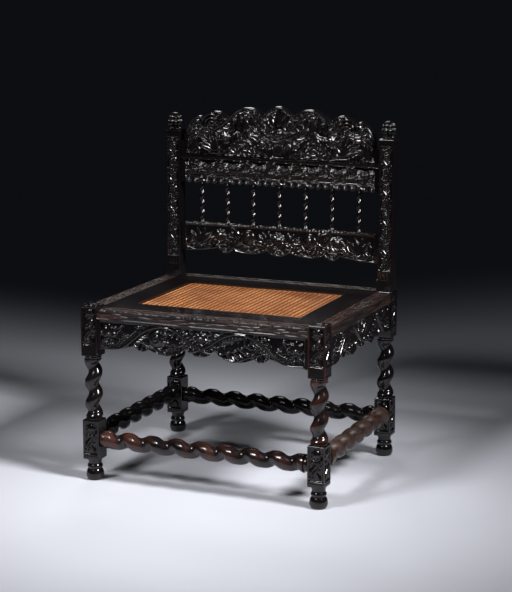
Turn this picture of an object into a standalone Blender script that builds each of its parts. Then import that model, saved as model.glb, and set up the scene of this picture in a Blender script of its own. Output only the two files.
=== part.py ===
"""Low ebony chair with a caned seat, spiral-turned legs and stretchers and a shaped, spindled back.

Metres, +Z up.  The front faces -Y, and left and right are those of someone facing the chair.
The origin is on the floor, midway between the four legs.
"""

import math

import bmesh
import bpy

# Fit between neighbouring pieces
FIT = 0.0003

# Plan and seat height
LEG_SPACING_X = 0.547
LEG_SPACING_Y = 0.441
SEAT_HEIGHT = 0.401

# Legs: square stock with a turned foot and a spiral between two blocks
LEG_BLOCK = 0.040
FOOT_HEIGHT = 0.050
FOOT_DIAMETER = 0.041
LOWER_BLOCK_HEIGHT = 0.092
UPPER_BLOCK_HEIGHT = 0.110
LEG_RISE = 0.009
LEG_CROWN_HEIGHT = 0.003
LEG_CROWN = 0.034
LEG_SPIRAL_DIAMETER = 0.0395
LEG_SPIRAL_DEPTH = 0.0065
LEG_SPIRAL_PITCH = 0.0497
LEG_SPIRAL_START = math.radians(-53)
LEG_SPIRAL_FADE = 0.012
# Turned foot from the floor up: share of its height, share of its diameter
FOOT_PROFILE = ((0.00, 0.76), (0.10, 0.90), (0.28, 1.00), (0.46, 0.90), (0.54, 0.78), (0.60, 0.86),
                (0.69, 0.86), (0.75, 0.74), (0.88, 0.74), (1.00, 0.88))

# Back posts above the seat
STILE = 0.035
STILE_HEIGHT = 0.358
PLINTH = 0.0385
PLINTH_HEIGHT = 0.026
STILE_CAP = 0.0385
STILE_CAP_HEIGHT = 0.009
STEP_HEIGHT = 0.004

# Finials on the posts
FINIAL_HEIGHT = 0.041
FINIAL_DIAMETER = 0.039
FINIAL_DOWEL_DIAMETER = 0.010
FINIAL_DOWEL_LENGTH = 0.015
# Turned finial from the post up: share of its height, share of its diameter
FINIAL_PROFILE = ((0.00, 0.78), (0.08, 0.80), (0.14, 0.70), (0.22, 0.70), (0.34, 0.93), (0.48, 1.00),
                  (0.64, 0.97), (0.80, 0.82), (0.92, 0.54), (1.00, 0.20))

# Seat rails: flat members of one width round the cane, a little below the tops of the front legs
SEAT_RAIL_THICKNESS = 0.024
SEAT_RAIL_WIDTH = 0.0955
SEAT_TENON_WIDTH = 0.016
SEAT_TENON_THICKNESS = 0.010
SEAT_TENON_OFFSET = 0.004
CORNER_TENON_WIDTH = 0.036
CORNER_TENON_LENGTH = 0.015

# Cane, sunk in a rebate in the seat rails
CANE_DROP = 0.004
CANE_LEDGE = 0.009
CANE_THICKNESS = 0.002
CANE_GAPS_X = 13
CANE_GAPS_Y = 9
CANE_STRAND = 0.006

# Aprons under the seat rails
APRON_THICKNESS = 0.020
APRON_SETBACK = 0.003
APRON_HEIGHT = 0.046
BACK_APRON_HEIGHT = 0.056
APRON_TENON_THICKNESS = 0.010
APRON_TENON_HEIGHT = 0.030
APRON_TENON_DROP = 0.008
APRON_LOBE = 0.0215
# Lower edge from the middle to the end: share of the half length, drop there and bulge as shares of
# the lobe, part of the arch used
APRON_EDGE = ((0.135, 0.00, 0.79, 0.5, 1.0), (0.500, 0.45, 0.78, 0.0, 1.0),
              (0.640, 0.30, 0.44, 0.0, 1.0), (1.000, 0.50, 0.50, 0.0, 0.5))

# Stretchers: spiral-turned, with round tenons
STRETCHER_HEIGHT_X = 0.096
STRETCHER_HEIGHT_Y = 0.104
STRETCHER_DIAMETER = 0.040
STRETCHER_END_DIAMETER = 0.035
STRETCHER_END_LENGTH = 0.012
STRETCHER_SPIRAL_DEPTH = 0.0055
STRETCHER_SPIRAL_PITCH = 0.060
STRETCHER_SPIRAL_START = math.radians(107)
STRETCHER_SPIRAL_FADE = 0.024
STRETCHER_TENON_DIAMETER = 0.011

# Tenons common to the rails that run into the legs
TENON_LENGTH = 0.013

# Back: crest, upper rail, spindles and lower rail, from the top of the posts down
CREST_DROP = 0.058
UPPER_RAIL_HEIGHT = 0.064
SPINDLE_LENGTH = 0.102
LOWER_RAIL_HEIGHT = 0.058
BACK_RAIL_THICKNESS = 0.020
BACK_TENON_THICKNESS = 0.008
BACK_TENON_MARGIN = 0.012
CREST_END_GAP = 0.0145
CREST_END_HEIGHT = 0.034
CREST_BAND_HEIGHT = 0.012
CREST_BAND_PROUD = 0.003
CREST_RISE = 0.099
CREST_LOBE = 0.024
LOWER_RAIL_LOBE = 0.014
# Edges from the middle to the end: share of the half length, rise or drop there, bulge as a share of
# the lobe, part of the arch used
CREST_EDGE = ((0.153, 1.00, 1.00, 0.5, 1.0), (0.550, 0.91, 0.96, 0.0, 1.0),
              (0.810, 0.86, 0.79, 0.0, 1.0), (1.000, 0.51, 0.92, 0.0, 1.0))
LOWER_RAIL_EDGE = ((0.115, 0.00, 0.93, 0.5, 1.0), (0.470, 0.00, 0.82, 0.0, 1.0),
                   (0.610, 0.00, 1.00, 0.0, 1.0), (1.000, 0.00, 0.86, 0.0, 0.5))
FRINGE_SCALLOPS = 3
FRINGE_DEPTH = 0.005

# Spindles: thin spiral turnings
SPINDLE_COUNT = 7
SPINDLE_END_GAP = 0.0535
SPINDLE_DIAMETER = 0.0125
SPINDLE_SPIRAL_DEPTH = 0.0035
SPINDLE_SPIRAL_PITCH = 0.024
SPINDLE_SPIRAL_FADE = 0.008
SPINDLE_SPIRAL_START = 0.0
SPINDLE_TENON_DIAMETER = 0.007
SPINDLE_TENON_LENGTH = 0.010

# Pegs through the apron and back rail tenons
PEG_DIAMETER = 0.005
PEG_PAST_TENON = 0.004
PEG_OFFSET = 0.008

# Facets and curve shapes
LEG_FACETS = 16
STRETCHER_FACETS = 10
SPINDLE_FACETS = 8
FINIAL_FACETS = 12
PEG_FACETS = 8
STEPS_PER_TURN = 6
SPINDLE_STEPS_PER_TURN = 5
LOBE_STEPS = 5
SCALLOP_STEPS = 3
LOBE_FULLNESS = 0.7
HOLLOW_POWER = 1.5
SMOOTH_ANGLE = math.radians(40)

# Places worked out from the sizes above
HALF_X = LEG_SPACING_X / 2
HALF_Y = LEG_SPACING_Y / 2
HALF_BLOCK = LEG_BLOCK / 2
APRON_TOP = SEAT_HEIGHT - SEAT_RAIL_THICKNESS
UPPER_BLOCK_BOTTOM = SEAT_HEIGHT - UPPER_BLOCK_HEIGHT
LOWER_BLOCK_TOP = FOOT_HEIGHT + LOWER_BLOCK_HEIGHT
POST_TOP = SEAT_HEIGHT + STILE_HEIGHT
CANE_TOP = SEAT_HEIGHT - CANE_DROP
CANE_HALF_X = HALF_X + HALF_BLOCK - SEAT_RAIL_WIDTH
CANE_HALF_Y = HALF_Y + HALF_BLOCK - SEAT_RAIL_WIDTH
BACK_HALF = HALF_X - STILE / 2 - FIT
UPPER_RAIL_TOP = POST_TOP - CREST_DROP
UPPER_RAIL_BOTTOM = UPPER_RAIL_TOP - UPPER_RAIL_HEIGHT
LOWER_RAIL_TOP = UPPER_RAIL_BOTTOM - SPINDLE_LENGTH
LOWER_RAIL_BOTTOM = LOWER_RAIL_TOP - LOWER_RAIL_HEIGHT
CREST_BOTTOM = UPPER_RAIL_TOP + FIT
SPINDLE_PITCH = 2 * (BACK_HALF - SPINDLE_END_GAP) / (SPINDLE_COUNT - 1)
# Sides of the chair: turn about the vertical, half length between leg centres, distance out
CHAIR_SIDES = {
    "front": (0, HALF_X, HALF_Y),
    "right": (90, HALF_Y, HALF_X),
    "back": (180, HALF_X, HALF_Y),
    "left": (270, HALF_Y, HALF_X),
}
# The back panel stands on the rear leg line and faces forward
SIDES = {**CHAIR_SIDES, "panel": (0, HALF_X, -HALF_Y)}


def remove_everything():
    """Start from an empty scene."""
    for item in list(bpy.data.objects):
        bpy.data.objects.remove(item)


def make_material(name, colour, roughness):
    """A plain surface of one colour."""
    material = bpy.data.materials.new(name)
    material.use_nodes = True
    shader = material.node_tree.nodes["Principled BSDF"]
    shader.inputs["Base Color"].default_value = (*colour, 1.0)
    shader.inputs["Roughness"].default_value = roughness
    shader.inputs["Metallic"].default_value = 0.0
    return material


def add_object(name, shape, material):
    """Turn a bmesh into a named object under the chair's empty."""
    bmesh.ops.recalc_face_normals(shape, faces=shape.faces)
    mesh = bpy.data.meshes.new(name)
    shape.to_mesh(mesh)
    shape.free()
    mesh.materials.append(material)
    mesh.shade_smooth()
    mesh.set_sharp_from_angle(angle=SMOOTH_ANGLE)
    item = bpy.data.objects.new(name, mesh)
    bpy.context.collection.objects.link(item)
    item.parent = chair
    return item


def add_box(name, low, high, material):
    """A box between two corners."""
    return add_plate(name, ((low[0], low[1]), (high[0], low[1]), (high[0], high[1]), (low[0], high[1])),
                     low[2], high[2], upright, material)


def add_plate(name, outline, near, far, place, material):
    """An outline of (u, v) points drawn out along w from near to far; place gives (x, y, z)."""
    shape = bmesh.new()
    front = [shape.verts.new(place(u, v, near)) for u, v in outline]
    rear = [shape.verts.new(place(u, v, far)) for u, v in outline]
    join_rings(shape, front, rear)
    shape.faces.new(front)
    shape.faces.new(rear)
    return add_object(name, shape, material)


def add_skin(name, rings, place, material):
    """A closed body through rings of (a, b) points at stations along its length."""
    shape = bmesh.new()
    loops = []
    for station, ring in rings:
        loops.append([shape.verts.new(place(a, b, station)) for a, b in ring])
    for lower, upper in zip(loops, loops[1:]):
        join_rings(shape, lower, upper)
    shape.faces.new(loops[0])
    shape.faces.new(loops[-1])
    return add_object(name, shape, material)


def join_rings(shape, lower, upper):
    """Quads between two rings with as many points."""
    for i, corner in enumerate(lower):
        j = (i + 1) % len(lower)
        shape.faces.new((corner, lower[j], upper[j], upper[i]))


def upright(a, b, station):
    """Turning axis along Z."""
    return (a, b, station)


def lengthwise(a, b, station):
    """Turning axis along X."""
    return (station, a, b)


def outward(a, b, station):
    """Turning axis along Y."""
    return (b, station, a)


def on_edge(u, v, w):
    """A board standing on edge: outline in X and Z, thickness along Y."""
    return (u, w, v)


def add_rod(name, place, centre, start, end, diameter, facets, material):
    """A round rod between two stations, its centre off the axis by (a, b)."""
    ring = [(a + centre[0], b + centre[1]) for a, b in round_ring(diameter, facets)]
    return add_skin(name, [(start, ring), (end, ring)], place, material)


def round_ring(diameter, facets):
    """A circle of points."""
    return spiral_ring(diameter, 0.0, 0.0, facets)


def square_ring(side, facets):
    """A square with as many points as the round rings, some of them on its corners."""
    ring = []
    for i in range(facets):
        angle = 2 * math.pi * i / facets
        reach = side / 2 / max(abs(math.cos(angle)), abs(math.sin(angle)))
        ring.append((reach * math.cos(angle), reach * math.sin(angle)))
    return ring


def spiral_ring(diameter, depth, turn, facets):
    """A slice of a one-strand spiral: full radius on the ridge, less by depth in the hollow."""
    ring = []
    for i in range(facets):
        angle = 2 * math.pi * i / facets
        hollow = (0.5 - 0.5 * math.cos(angle - turn)) ** HOLLOW_POWER
        radius = diameter / 2 - depth * hollow
        ring.append((radius * math.cos(angle), radius * math.sin(angle)))
    return ring


def spiral_rings(start, end, diameter, depth, pitch, fade, facets, first_turn, steps_per_turn=STEPS_PER_TURN):
    """Rings of a right-handed spiral that fades into a cylinder at both ends."""
    count = max(2, round((end - start) / pitch * steps_per_turn))
    rings = []
    for i in range(count + 1):
        station = start + (end - start) * i / count
        nearest_end = min(station - start, end - station)
        share = min(1.0, nearest_end / fade)
        turn = first_turn + 2 * math.pi * (station - start) / pitch
        rings.append((station, spiral_ring(diameter, depth * share, turn, facets)))
    return rings


def turned_rings(profile, base, height, diameter, facets):
    """Plain turned rings from a profile of height and diameter shares."""
    return [(base + height * up, round_ring(diameter * wide, facets)) for up, wide in profile]


def lobed_edge(half_length, rise, lobe, lobes):
    """Points of an edge made of arches, the same on both sides of its middle."""
    half = []
    start = 0.0
    start_height = lobes[0][1]
    for end, height, bulge, arch_from, arch_to in lobes:
        for step in range(LOBE_STEPS + 1):
            share = step / LOBE_STEPS
            arch = math.sin(math.pi * (arch_from + (arch_to - arch_from) * share))
            along = (start + (end - start) * share) * half_length
            level = rise * (start_height + (height - start_height) * share)
            if step or not half:
                half.append((along, level + lobe * bulge * max(arch, 0.0) ** LOBE_FULLNESS))
        start, start_height = end, height
    return [(-along, level) for along, level in reversed(half[1:])] + half


def bake_booleans(target, others, operation):
    """Join the other solids to the target, or cut them out of it, and remove them."""
    for other in others:
        step = target.modifiers.new(operation.lower(), 'BOOLEAN')
        step.operation = operation
        step.solver = 'EXACT'
        step.object = other
    bpy.context.view_layer.update()
    graph = bpy.context.evaluated_depsgraph_get()
    mesh = bpy.data.meshes.new_from_object(target.evaluated_get(graph))
    shape = bmesh.new()
    shape.from_mesh(mesh)
    bmesh.ops.triangulate(shape, faces=shape.faces)
    shape.to_mesh(mesh)
    shape.free()
    target.modifiers.clear()
    target.data = mesh
    for other in others:
        bpy.data.objects.remove(other)


def cut(target, *cutters):
    """Take the cutters out of the target."""
    bake_booleans(target, cutters, 'DIFFERENCE')


def put_on_side(item, side):
    """Set a piece drawn along X, facing -Y, on the leg line of one side of the chair."""
    turn, _, out = SIDES[side]
    angle = math.radians(turn)
    item.rotation_euler = (0.0, 0.0, angle)
    item.location = (out * math.sin(angle), -out * math.cos(angle), 0.0)
    return item


def leg_key(side, end):
    """Which leg, as signs of X and Y, stands at an end (-1 or 1) of a side."""
    keys = {
        "front": (end, -1),
        "right": (1, end),
        "back": (-end, 1),
        "left": (-1, -end),
        "panel": (end, 1),
    }
    return keys[side]


def end_word(side, end):
    """The end of a side in words."""
    x_sign, y_sign = leg_key(side, end)
    if side in ("left", "right"):
        return "front" if y_sign < 0 else "back"
    return "left" if x_sign < 0 else "right"


def add_tenons(rail, side, low, high):
    """Fuse a tenon to both ends of a rail and cut its mortises in the legs.  The corners are
    those of the tenon at the +X end."""
    for end in (-1, 1):
        near, far = sorted((end * low[0], end * high[0]))
        box_low = (near, low[1], low[2])
        box_high = (far, high[1], high[2])
        tenon = put_on_side(add_box("tenon", box_low, box_high, ebony), side)
        bake_booleans(rail, [tenon], 'UNION')
        mortise = add_box("mortise", [value - FIT for value in box_low],
                          [value + FIT for value in box_high], ebony)
        cut(legs[leg_key(side, end)], put_on_side(mortise, side))


def add_pegs(name, rail, side, along, height, low, high):
    """A peg along Y through both tenons of a rail, level with the leg at its high end."""
    for end in (-1, 1):
        key = leg_key(side, end)
        centre = (height, end * along)
        peg = add_rod(name + "_" + end_word(side, end), outward, centre, low, high,
                      PEG_DIAMETER, PEG_FACETS, ebony)
        put_on_side(peg, side)
        for piece in (rail, legs[key]):
            hole = add_rod("hole", outward, centre, low - FIT, high + FIT,
                           PEG_DIAMETER + 2 * FIT, PEG_FACETS, ebony)
            cut(piece, put_on_side(hole, side))


def leg_rings():
    """A leg from the floor to the seat: foot, block, spiral, block."""
    rings = turned_rings(FOOT_PROFILE, 0.0, FOOT_HEIGHT, FOOT_DIAMETER, LEG_FACETS)
    block = square_ring(LEG_BLOCK, LEG_FACETS)
    rings += [(FOOT_HEIGHT, block), (LOWER_BLOCK_TOP, block)]
    rings += spiral_rings(LOWER_BLOCK_TOP, UPPER_BLOCK_BOTTOM, LEG_SPIRAL_DIAMETER, LEG_SPIRAL_DEPTH,
                          LEG_SPIRAL_PITCH, LEG_SPIRAL_FADE, LEG_FACETS, LEG_SPIRAL_START)
    rings += [(UPPER_BLOCK_BOTTOM, block), (SEAT_HEIGHT, block)]
    return rings


def crown_rings():
    """The end of a front leg standing a little above the seat."""
    top = SEAT_HEIGHT + LEG_RISE
    return [(top - LEG_CROWN_HEIGHT, square_ring(LEG_BLOCK, LEG_FACETS)),
            (top, square_ring(LEG_CROWN, LEG_FACETS))]


def stile_rings():
    """A back post above the seat: plinth, shaft and cap."""
    plinth = square_ring(PLINTH, LEG_FACETS)
    shaft = square_ring(STILE, LEG_FACETS)
    cap = square_ring(STILE_CAP, LEG_FACETS)
    cap_bottom = POST_TOP - STILE_CAP_HEIGHT
    return [
        (SEAT_HEIGHT, plinth),
        (SEAT_HEIGHT + PLINTH_HEIGHT, plinth),
        (SEAT_HEIGHT + PLINTH_HEIGHT + STEP_HEIGHT, shaft),
        (cap_bottom - STEP_HEIGHT, shaft),
        (cap_bottom, cap),
        (POST_TOP, cap),
    ]


def make_legs():
    """Two front legs and two back posts, keyed by their signs of X and Y."""
    made = {}
    for x_sign in (-1, 1):
        hand = "left" if x_sign < 0 else "right"
        made[x_sign, -1] = add_skin("front_leg_" + hand, leg_rings() + crown_rings(), upright, ebony)
        made[x_sign, 1] = add_skin("back_post_" + hand, leg_rings() + stile_rings(), upright, ebony)
    for (x_sign, y_sign), leg in made.items():
        leg.location = (x_sign * HALF_X, y_sign * HALF_Y, 0.0)
    return made


def make_finials():
    """A turned bud doweled into the top of each back post."""
    for x_sign, hand in ((-1, "left"), (1, "right")):
        dowel = round_ring(FINIAL_DOWEL_DIAMETER, FINIAL_FACETS)
        base = POST_TOP + FIT
        rings = [(POST_TOP - FINIAL_DOWEL_LENGTH, dowel), (base, dowel)]
        rings += turned_rings(FINIAL_PROFILE, base, FINIAL_HEIGHT, FINIAL_DIAMETER, FINIAL_FACETS)
        finial = add_skin("finial_" + hand, rings, upright, ebony)
        finial.location = (x_sign * HALF_X, HALF_Y, 0.0)
        hole = add_rod("hole", upright, (0.0, 0.0), POST_TOP - FINIAL_DOWEL_LENGTH - FIT,
                       POST_TOP + FIT, FINIAL_DOWEL_DIAMETER + 2 * FIT, FINIAL_FACETS, ebony)
        hole.location = finial.location
        cut(legs[x_sign, 1], hole)


def seat_rail_outline(side):
    """The plan of a seat rail in its side's frame, between the legs and round the cane."""
    _, half, _ = SIDES[side]
    clear = half - HALF_BLOCK - FIT
    outer = -HALF_BLOCK
    inner = outer + SEAT_RAIL_WIDTH + CANE_LEDGE
    if side in ("front", "back"):
        return [(-clear, outer), (clear, outer), (clear, inner), (-clear, inner)]
    step = HALF_BLOCK
    shoulder = CANE_HALF_Y - CANE_LEDGE - FIT
    return [(-clear, outer), (clear, outer), (clear, step), (shoulder, step), (shoulder, inner),
            (-shoulder, inner), (-shoulder, step), (-clear, step)]


def make_seat_rails():
    """Four flat rails tenoned to the legs; the side rails are also tenoned to the others."""
    made = {}
    middle = SEAT_HEIGHT - SEAT_RAIL_THICKNESS / 2
    tenon_low = middle - SEAT_TENON_THICKNESS / 2
    tenon_high = middle + SEAT_TENON_THICKNESS / 2
    across = -SEAT_TENON_OFFSET - SEAT_TENON_WIDTH / 2
    for side, (_, half, _) in CHAIR_SIDES.items():
        rail = add_plate("seat_rail_" + side, seat_rail_outline(side), APRON_TOP, SEAT_HEIGHT,
                         upright, ebony)
        made[side] = put_on_side(rail, side)
        face = half - HALF_BLOCK
        add_tenons(rail, side, (face - TENON_LENGTH, across, tenon_low),
                   (face + TENON_LENGTH, across + SEAT_TENON_WIDTH, tenon_high))
    inner_x = CANE_HALF_X - CANE_LEDGE
    middle_x = (inner_x + HALF_X - HALF_BLOCK) / 2
    for x_sign, side in ((-1, "left"), (1, "right")):
        for other, y_sign in (("front", -1), ("back", 1)):
            shoulder = y_sign * (CANE_HALF_Y - CANE_LEDGE)
            ends = (shoulder - CORNER_TENON_LENGTH, shoulder + CORNER_TENON_LENGTH)
            low = (x_sign * middle_x - CORNER_TENON_WIDTH / 2, ends[0], tenon_low)
            high = (x_sign * middle_x + CORNER_TENON_WIDTH / 2, ends[1], tenon_high)
            bake_booleans(made[side], [add_box("tenon", low, high, ebony)], 'UNION')
            cut(made[other], add_box("mortise", [value - FIT for value in low],
                                     [value + FIT for value in high], ebony))
    for rail in made.values():
        rebate = add_box("rebate", (-CANE_HALF_X, -CANE_HALF_Y, CANE_TOP - CANE_THICKNESS - FIT),
                         (CANE_HALF_X, CANE_HALF_Y, SEAT_HEIGHT + FIT), ebony)
        cut(rail, rebate)


def net_lines(low, high, gaps):
    """Strand edges across a net: a border over the ledge, then gaps and strands in turn."""
    gap = (high - low - 2 * CANE_LEDGE - (gaps - 1) * CANE_STRAND) / gaps
    lines = [low]
    place = low + CANE_LEDGE
    for _ in range(gaps):
        lines += [place, place + gap]
        place += gap + CANE_STRAND
    return lines + [high]


def make_cane():
    """The cane as a flat open net, a little below the seat rails."""
    xs = net_lines(-CANE_HALF_X + FIT, CANE_HALF_X - FIT, CANE_GAPS_X)
    ys = net_lines(-CANE_HALF_Y + FIT, CANE_HALF_Y - FIT, CANE_GAPS_Y)
    levels = (CANE_TOP - CANE_THICKNESS, CANE_TOP)
    shape = bmesh.new()
    corners = {}

    def corner(i, j, level):
        key = (i, j, level)
        if key not in corners:
            corners[key] = shape.verts.new((xs[i], ys[j], levels[level]))
        return corners[key]

    def is_solid(i, j):
        inside = 0 <= i < len(xs) - 1 and 0 <= j < len(ys) - 1
        return inside and not (i % 2 and j % 2)

    for i in range(len(xs) - 1):
        for j in range(len(ys) - 1):
            if not is_solid(i, j):
                continue
            loop = ((i, j), (i + 1, j), (i + 1, j + 1), (i, j + 1))
            for level in (0, 1):
                shape.faces.new([corner(a, b, level) for a, b in loop])
            beside = ((i, j - 1), (i + 1, j), (i, j + 1), (i - 1, j))
            for start, (a, b) in enumerate(beside):
                if not is_solid(a, b):
                    first = loop[start]
                    second = loop[(start + 1) % len(loop)]
                    shape.faces.new((corner(*first, 0), corner(*second, 0),
                                     corner(*second, 1), corner(*first, 1)))
    add_object("cane_panel", shape, cane)


def make_aprons():
    """Boards under the seat rails with a lobed lower edge, the back one straight."""
    front_face = -HALF_BLOCK + APRON_SETBACK
    rear_face = front_face + APRON_THICKNESS
    tenon_rear = rear_face - FIT
    tenon_front = tenon_rear - APRON_TENON_THICKNESS
    top = APRON_TOP - FIT
    tenon_top = top - APRON_TENON_DROP
    tenon_bottom = tenon_top - APRON_TENON_HEIGHT
    for side, (_, half, _) in CHAIR_SIDES.items():
        clear = half - HALF_BLOCK - FIT
        if side == "back":
            edge = [(-clear, top - BACK_APRON_HEIGHT), (clear, top - BACK_APRON_HEIGHT)]
        else:
            edge = [(along, top - APRON_HEIGHT - drop)
                    for along, drop in lobed_edge(clear, APRON_LOBE, APRON_LOBE, APRON_EDGE)]
        outline = edge + [(clear, top), (-clear, top)]
        apron = add_plate("apron_" + side, outline, front_face, rear_face, on_edge, ebony)
        put_on_side(apron, side)
        face = half - HALF_BLOCK
        add_tenons(apron, side, (face - TENON_LENGTH, tenon_front, tenon_bottom),
                   (face + TENON_LENGTH, tenon_rear, tenon_top))
        lift = PEG_OFFSET if side in ("front", "back") else -PEG_OFFSET
        add_pegs("apron_peg_" + side, apron, side, face + TENON_LENGTH / 2,
                 (tenon_bottom + tenon_top) / 2 + lift, tenon_front - PEG_PAST_TENON, HALF_BLOCK)


def make_stretchers():
    """Four spiral stretchers with a round tenon in each leg."""
    for side, (_, half, _) in CHAIR_SIDES.items():
        height = STRETCHER_HEIGHT_X if side in ("front", "back") else STRETCHER_HEIGHT_Y
        face = half - HALF_BLOCK
        clear = face - FIT
        tenon = round_ring(STRETCHER_TENON_DIAMETER, STRETCHER_FACETS)
        end = round_ring(STRETCHER_END_DIAMETER, STRETCHER_FACETS)
        plain = clear - STRETCHER_END_LENGTH
        rings = [(-face - TENON_LENGTH, tenon), (-clear, tenon), (-clear, end)]
        rings += spiral_rings(-plain, plain, STRETCHER_DIAMETER, STRETCHER_SPIRAL_DEPTH,
                              STRETCHER_SPIRAL_PITCH, STRETCHER_SPIRAL_FADE, STRETCHER_FACETS,
                              STRETCHER_SPIRAL_START)
        rings += [(clear, end), (clear, tenon), (face + TENON_LENGTH, tenon)]
        stretcher = add_skin("stretcher_" + side, rings, lengthwise, worn_ebony)
        put_on_side(stretcher, side)
        stretcher.location.z = height
        for end_sign in (-1, 1):
            start, stop = sorted((end_sign * (face - FIT), end_sign * (face + TENON_LENGTH + FIT)))
            hole = add_rod("mortise", lengthwise, (0.0, 0.0), start, stop,
                           STRETCHER_TENON_DIAMETER + 2 * FIT, STRETCHER_FACETS, ebony)
            put_on_side(hole, side)
            hole.location.z = height
            cut(legs[leg_key(side, end_sign)], hole)


def fringe_edge():
    """The upper rail's lower edge: a flat at each spindle and scallops between."""
    flat = SPINDLE_DIAMETER / 2 + FIT
    stops = [-BACK_HALF]
    for i in range(SPINDLE_COUNT):
        centre = spindle_place(i)
        stops += [centre - flat, centre + flat]
    stops.append(BACK_HALF)
    points = []
    for start, end in zip(stops[::2], stops[1::2]):
        for step in range(FRINGE_SCALLOPS * SCALLOP_STEPS + 1):
            share = step / (FRINGE_SCALLOPS * SCALLOP_STEPS)
            drop = FRINGE_DEPTH * abs(math.sin(math.pi * FRINGE_SCALLOPS * share)) ** LOBE_FULLNESS
            points.append((start + (end - start) * share, UPPER_RAIL_BOTTOM - drop))
    return points


def spindle_place(index):
    """Where a spindle stands along the back."""
    return (index - (SPINDLE_COUNT - 1) / 2) * SPINDLE_PITCH


def make_back_rails():
    """Lower rail, upper rail and crest between the posts, pegged from behind."""
    half_thick = BACK_RAIL_THICKNESS / 2
    lower_edge = [(along, LOWER_RAIL_BOTTOM - drop)
                  for along, drop in lobed_edge(BACK_HALF, LOWER_RAIL_LOBE, LOWER_RAIL_LOBE, LOWER_RAIL_EDGE)]
    crest_half = BACK_HALF - CREST_END_GAP
    crest_edge = [(along, CREST_BOTTOM + rise)
                  for along, rise in lobed_edge(crest_half, CREST_RISE, CREST_LOBE, CREST_EDGE)]
    crest_ends = CREST_BOTTOM + CREST_END_HEIGHT
    crest_foot = [(-crest_half, crest_ends), (-BACK_HALF, crest_ends), (-BACK_HALF, CREST_BOTTOM),
                  (BACK_HALF, CREST_BOTTOM), (BACK_HALF, crest_ends), (crest_half, crest_ends)]
    outlines = {
        "lower_back_rail": lower_edge + [(BACK_HALF, LOWER_RAIL_TOP), (-BACK_HALF, LOWER_RAIL_TOP)],
        "upper_back_rail": fringe_edge() + [(BACK_HALF, UPPER_RAIL_TOP), (-BACK_HALF, UPPER_RAIL_TOP)],
        "crest_rail": crest_edge[::-1] + crest_foot,
    }
    tenon_spans = {
        "lower_back_rail": (LOWER_RAIL_BOTTOM + BACK_TENON_MARGIN, LOWER_RAIL_TOP - BACK_TENON_MARGIN),
        "upper_back_rail": (UPPER_RAIL_BOTTOM + BACK_TENON_MARGIN, UPPER_RAIL_TOP - BACK_TENON_MARGIN),
        "crest_rail": (CREST_BOTTOM + BACK_TENON_MARGIN / 2, crest_ends - BACK_TENON_MARGIN / 2),
    }
    made = {}
    face = BACK_HALF + FIT
    for name, outline in outlines.items():
        rail = add_plate(name, outline, -half_thick, half_thick, on_edge, ebony)
        made[name] = put_on_side(rail, "panel")
    band = add_box("band", (-BACK_HALF, -half_thick - CREST_BAND_PROUD, UPPER_RAIL_TOP - CREST_BAND_HEIGHT),
                   (BACK_HALF, 0.0, UPPER_RAIL_TOP), ebony)
    bake_booleans(made["upper_back_rail"], [put_on_side(band, "panel")], 'UNION')
    for name, (bottom, top) in tenon_spans.items():
        add_tenons(made[name], "panel", (face - TENON_LENGTH, -BACK_TENON_THICKNESS / 2, bottom),
                   (face + TENON_LENGTH, BACK_TENON_THICKNESS / 2, top))
        add_pegs(name + "_peg", made[name], "panel", face + TENON_LENGTH / 2,
                 (bottom + top) / 2, -BACK_TENON_THICKNESS / 2 - PEG_PAST_TENON, STILE / 2)
    return made


def make_spindles(lower_rail, upper_rail):
    """Thin spiral spindles with a round tenon in the rail below and the rail above."""
    bottom = LOWER_RAIL_TOP + FIT
    top = UPPER_RAIL_BOTTOM - FIT
    tenon = round_ring(SPINDLE_TENON_DIAMETER, SPINDLE_FACETS)
    ends = (LOWER_RAIL_TOP - SPINDLE_TENON_LENGTH, UPPER_RAIL_BOTTOM + SPINDLE_TENON_LENGTH)
    for i in range(SPINDLE_COUNT):
        rings = [(ends[0], tenon), (bottom, tenon)]
        rings += spiral_rings(bottom, top, SPINDLE_DIAMETER, SPINDLE_SPIRAL_DEPTH, SPINDLE_SPIRAL_PITCH,
                              SPINDLE_SPIRAL_FADE, SPINDLE_FACETS, SPINDLE_SPIRAL_START, SPINDLE_STEPS_PER_TURN)
        rings += [(top, tenon), (ends[1], tenon)]
        spindle = add_skin("spindle_" + str(i + 1), rings, upright, ebony)
        spindle.location = (spindle_place(i), HALF_Y, 0.0)
        for rail, start, end in ((lower_rail, ends[0] - FIT, bottom), (upper_rail, top, ends[1] + FIT)):
            hole = add_rod("mortise", upright, (0.0, 0.0), start, end, SPINDLE_TENON_DIAMETER + 2 * FIT,
                           SPINDLE_FACETS, ebony)
            hole.location = spindle.location
            cut(rail, hole)


remove_everything()
chair = bpy.data.objects.new("chair", None)
bpy.context.collection.objects.link(chair)
ebony = make_material("ebony", (0.012, 0.010, 0.010), 0.30)
worn_ebony = make_material("worn_ebony", (0.045, 0.022, 0.015), 0.35)
cane = make_material("cane", (0.52, 0.24, 0.07), 0.55)
legs = make_legs()
make_finials()
make_seat_rails()
make_cane()
make_aprons()
make_stretchers()
back_rails = make_back_rails()
make_spindles(back_rails["lower_back_rail"], back_rails["upper_back_rail"])
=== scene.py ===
"""Low ebony chair: carved boards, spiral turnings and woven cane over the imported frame."""

import math

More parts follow.
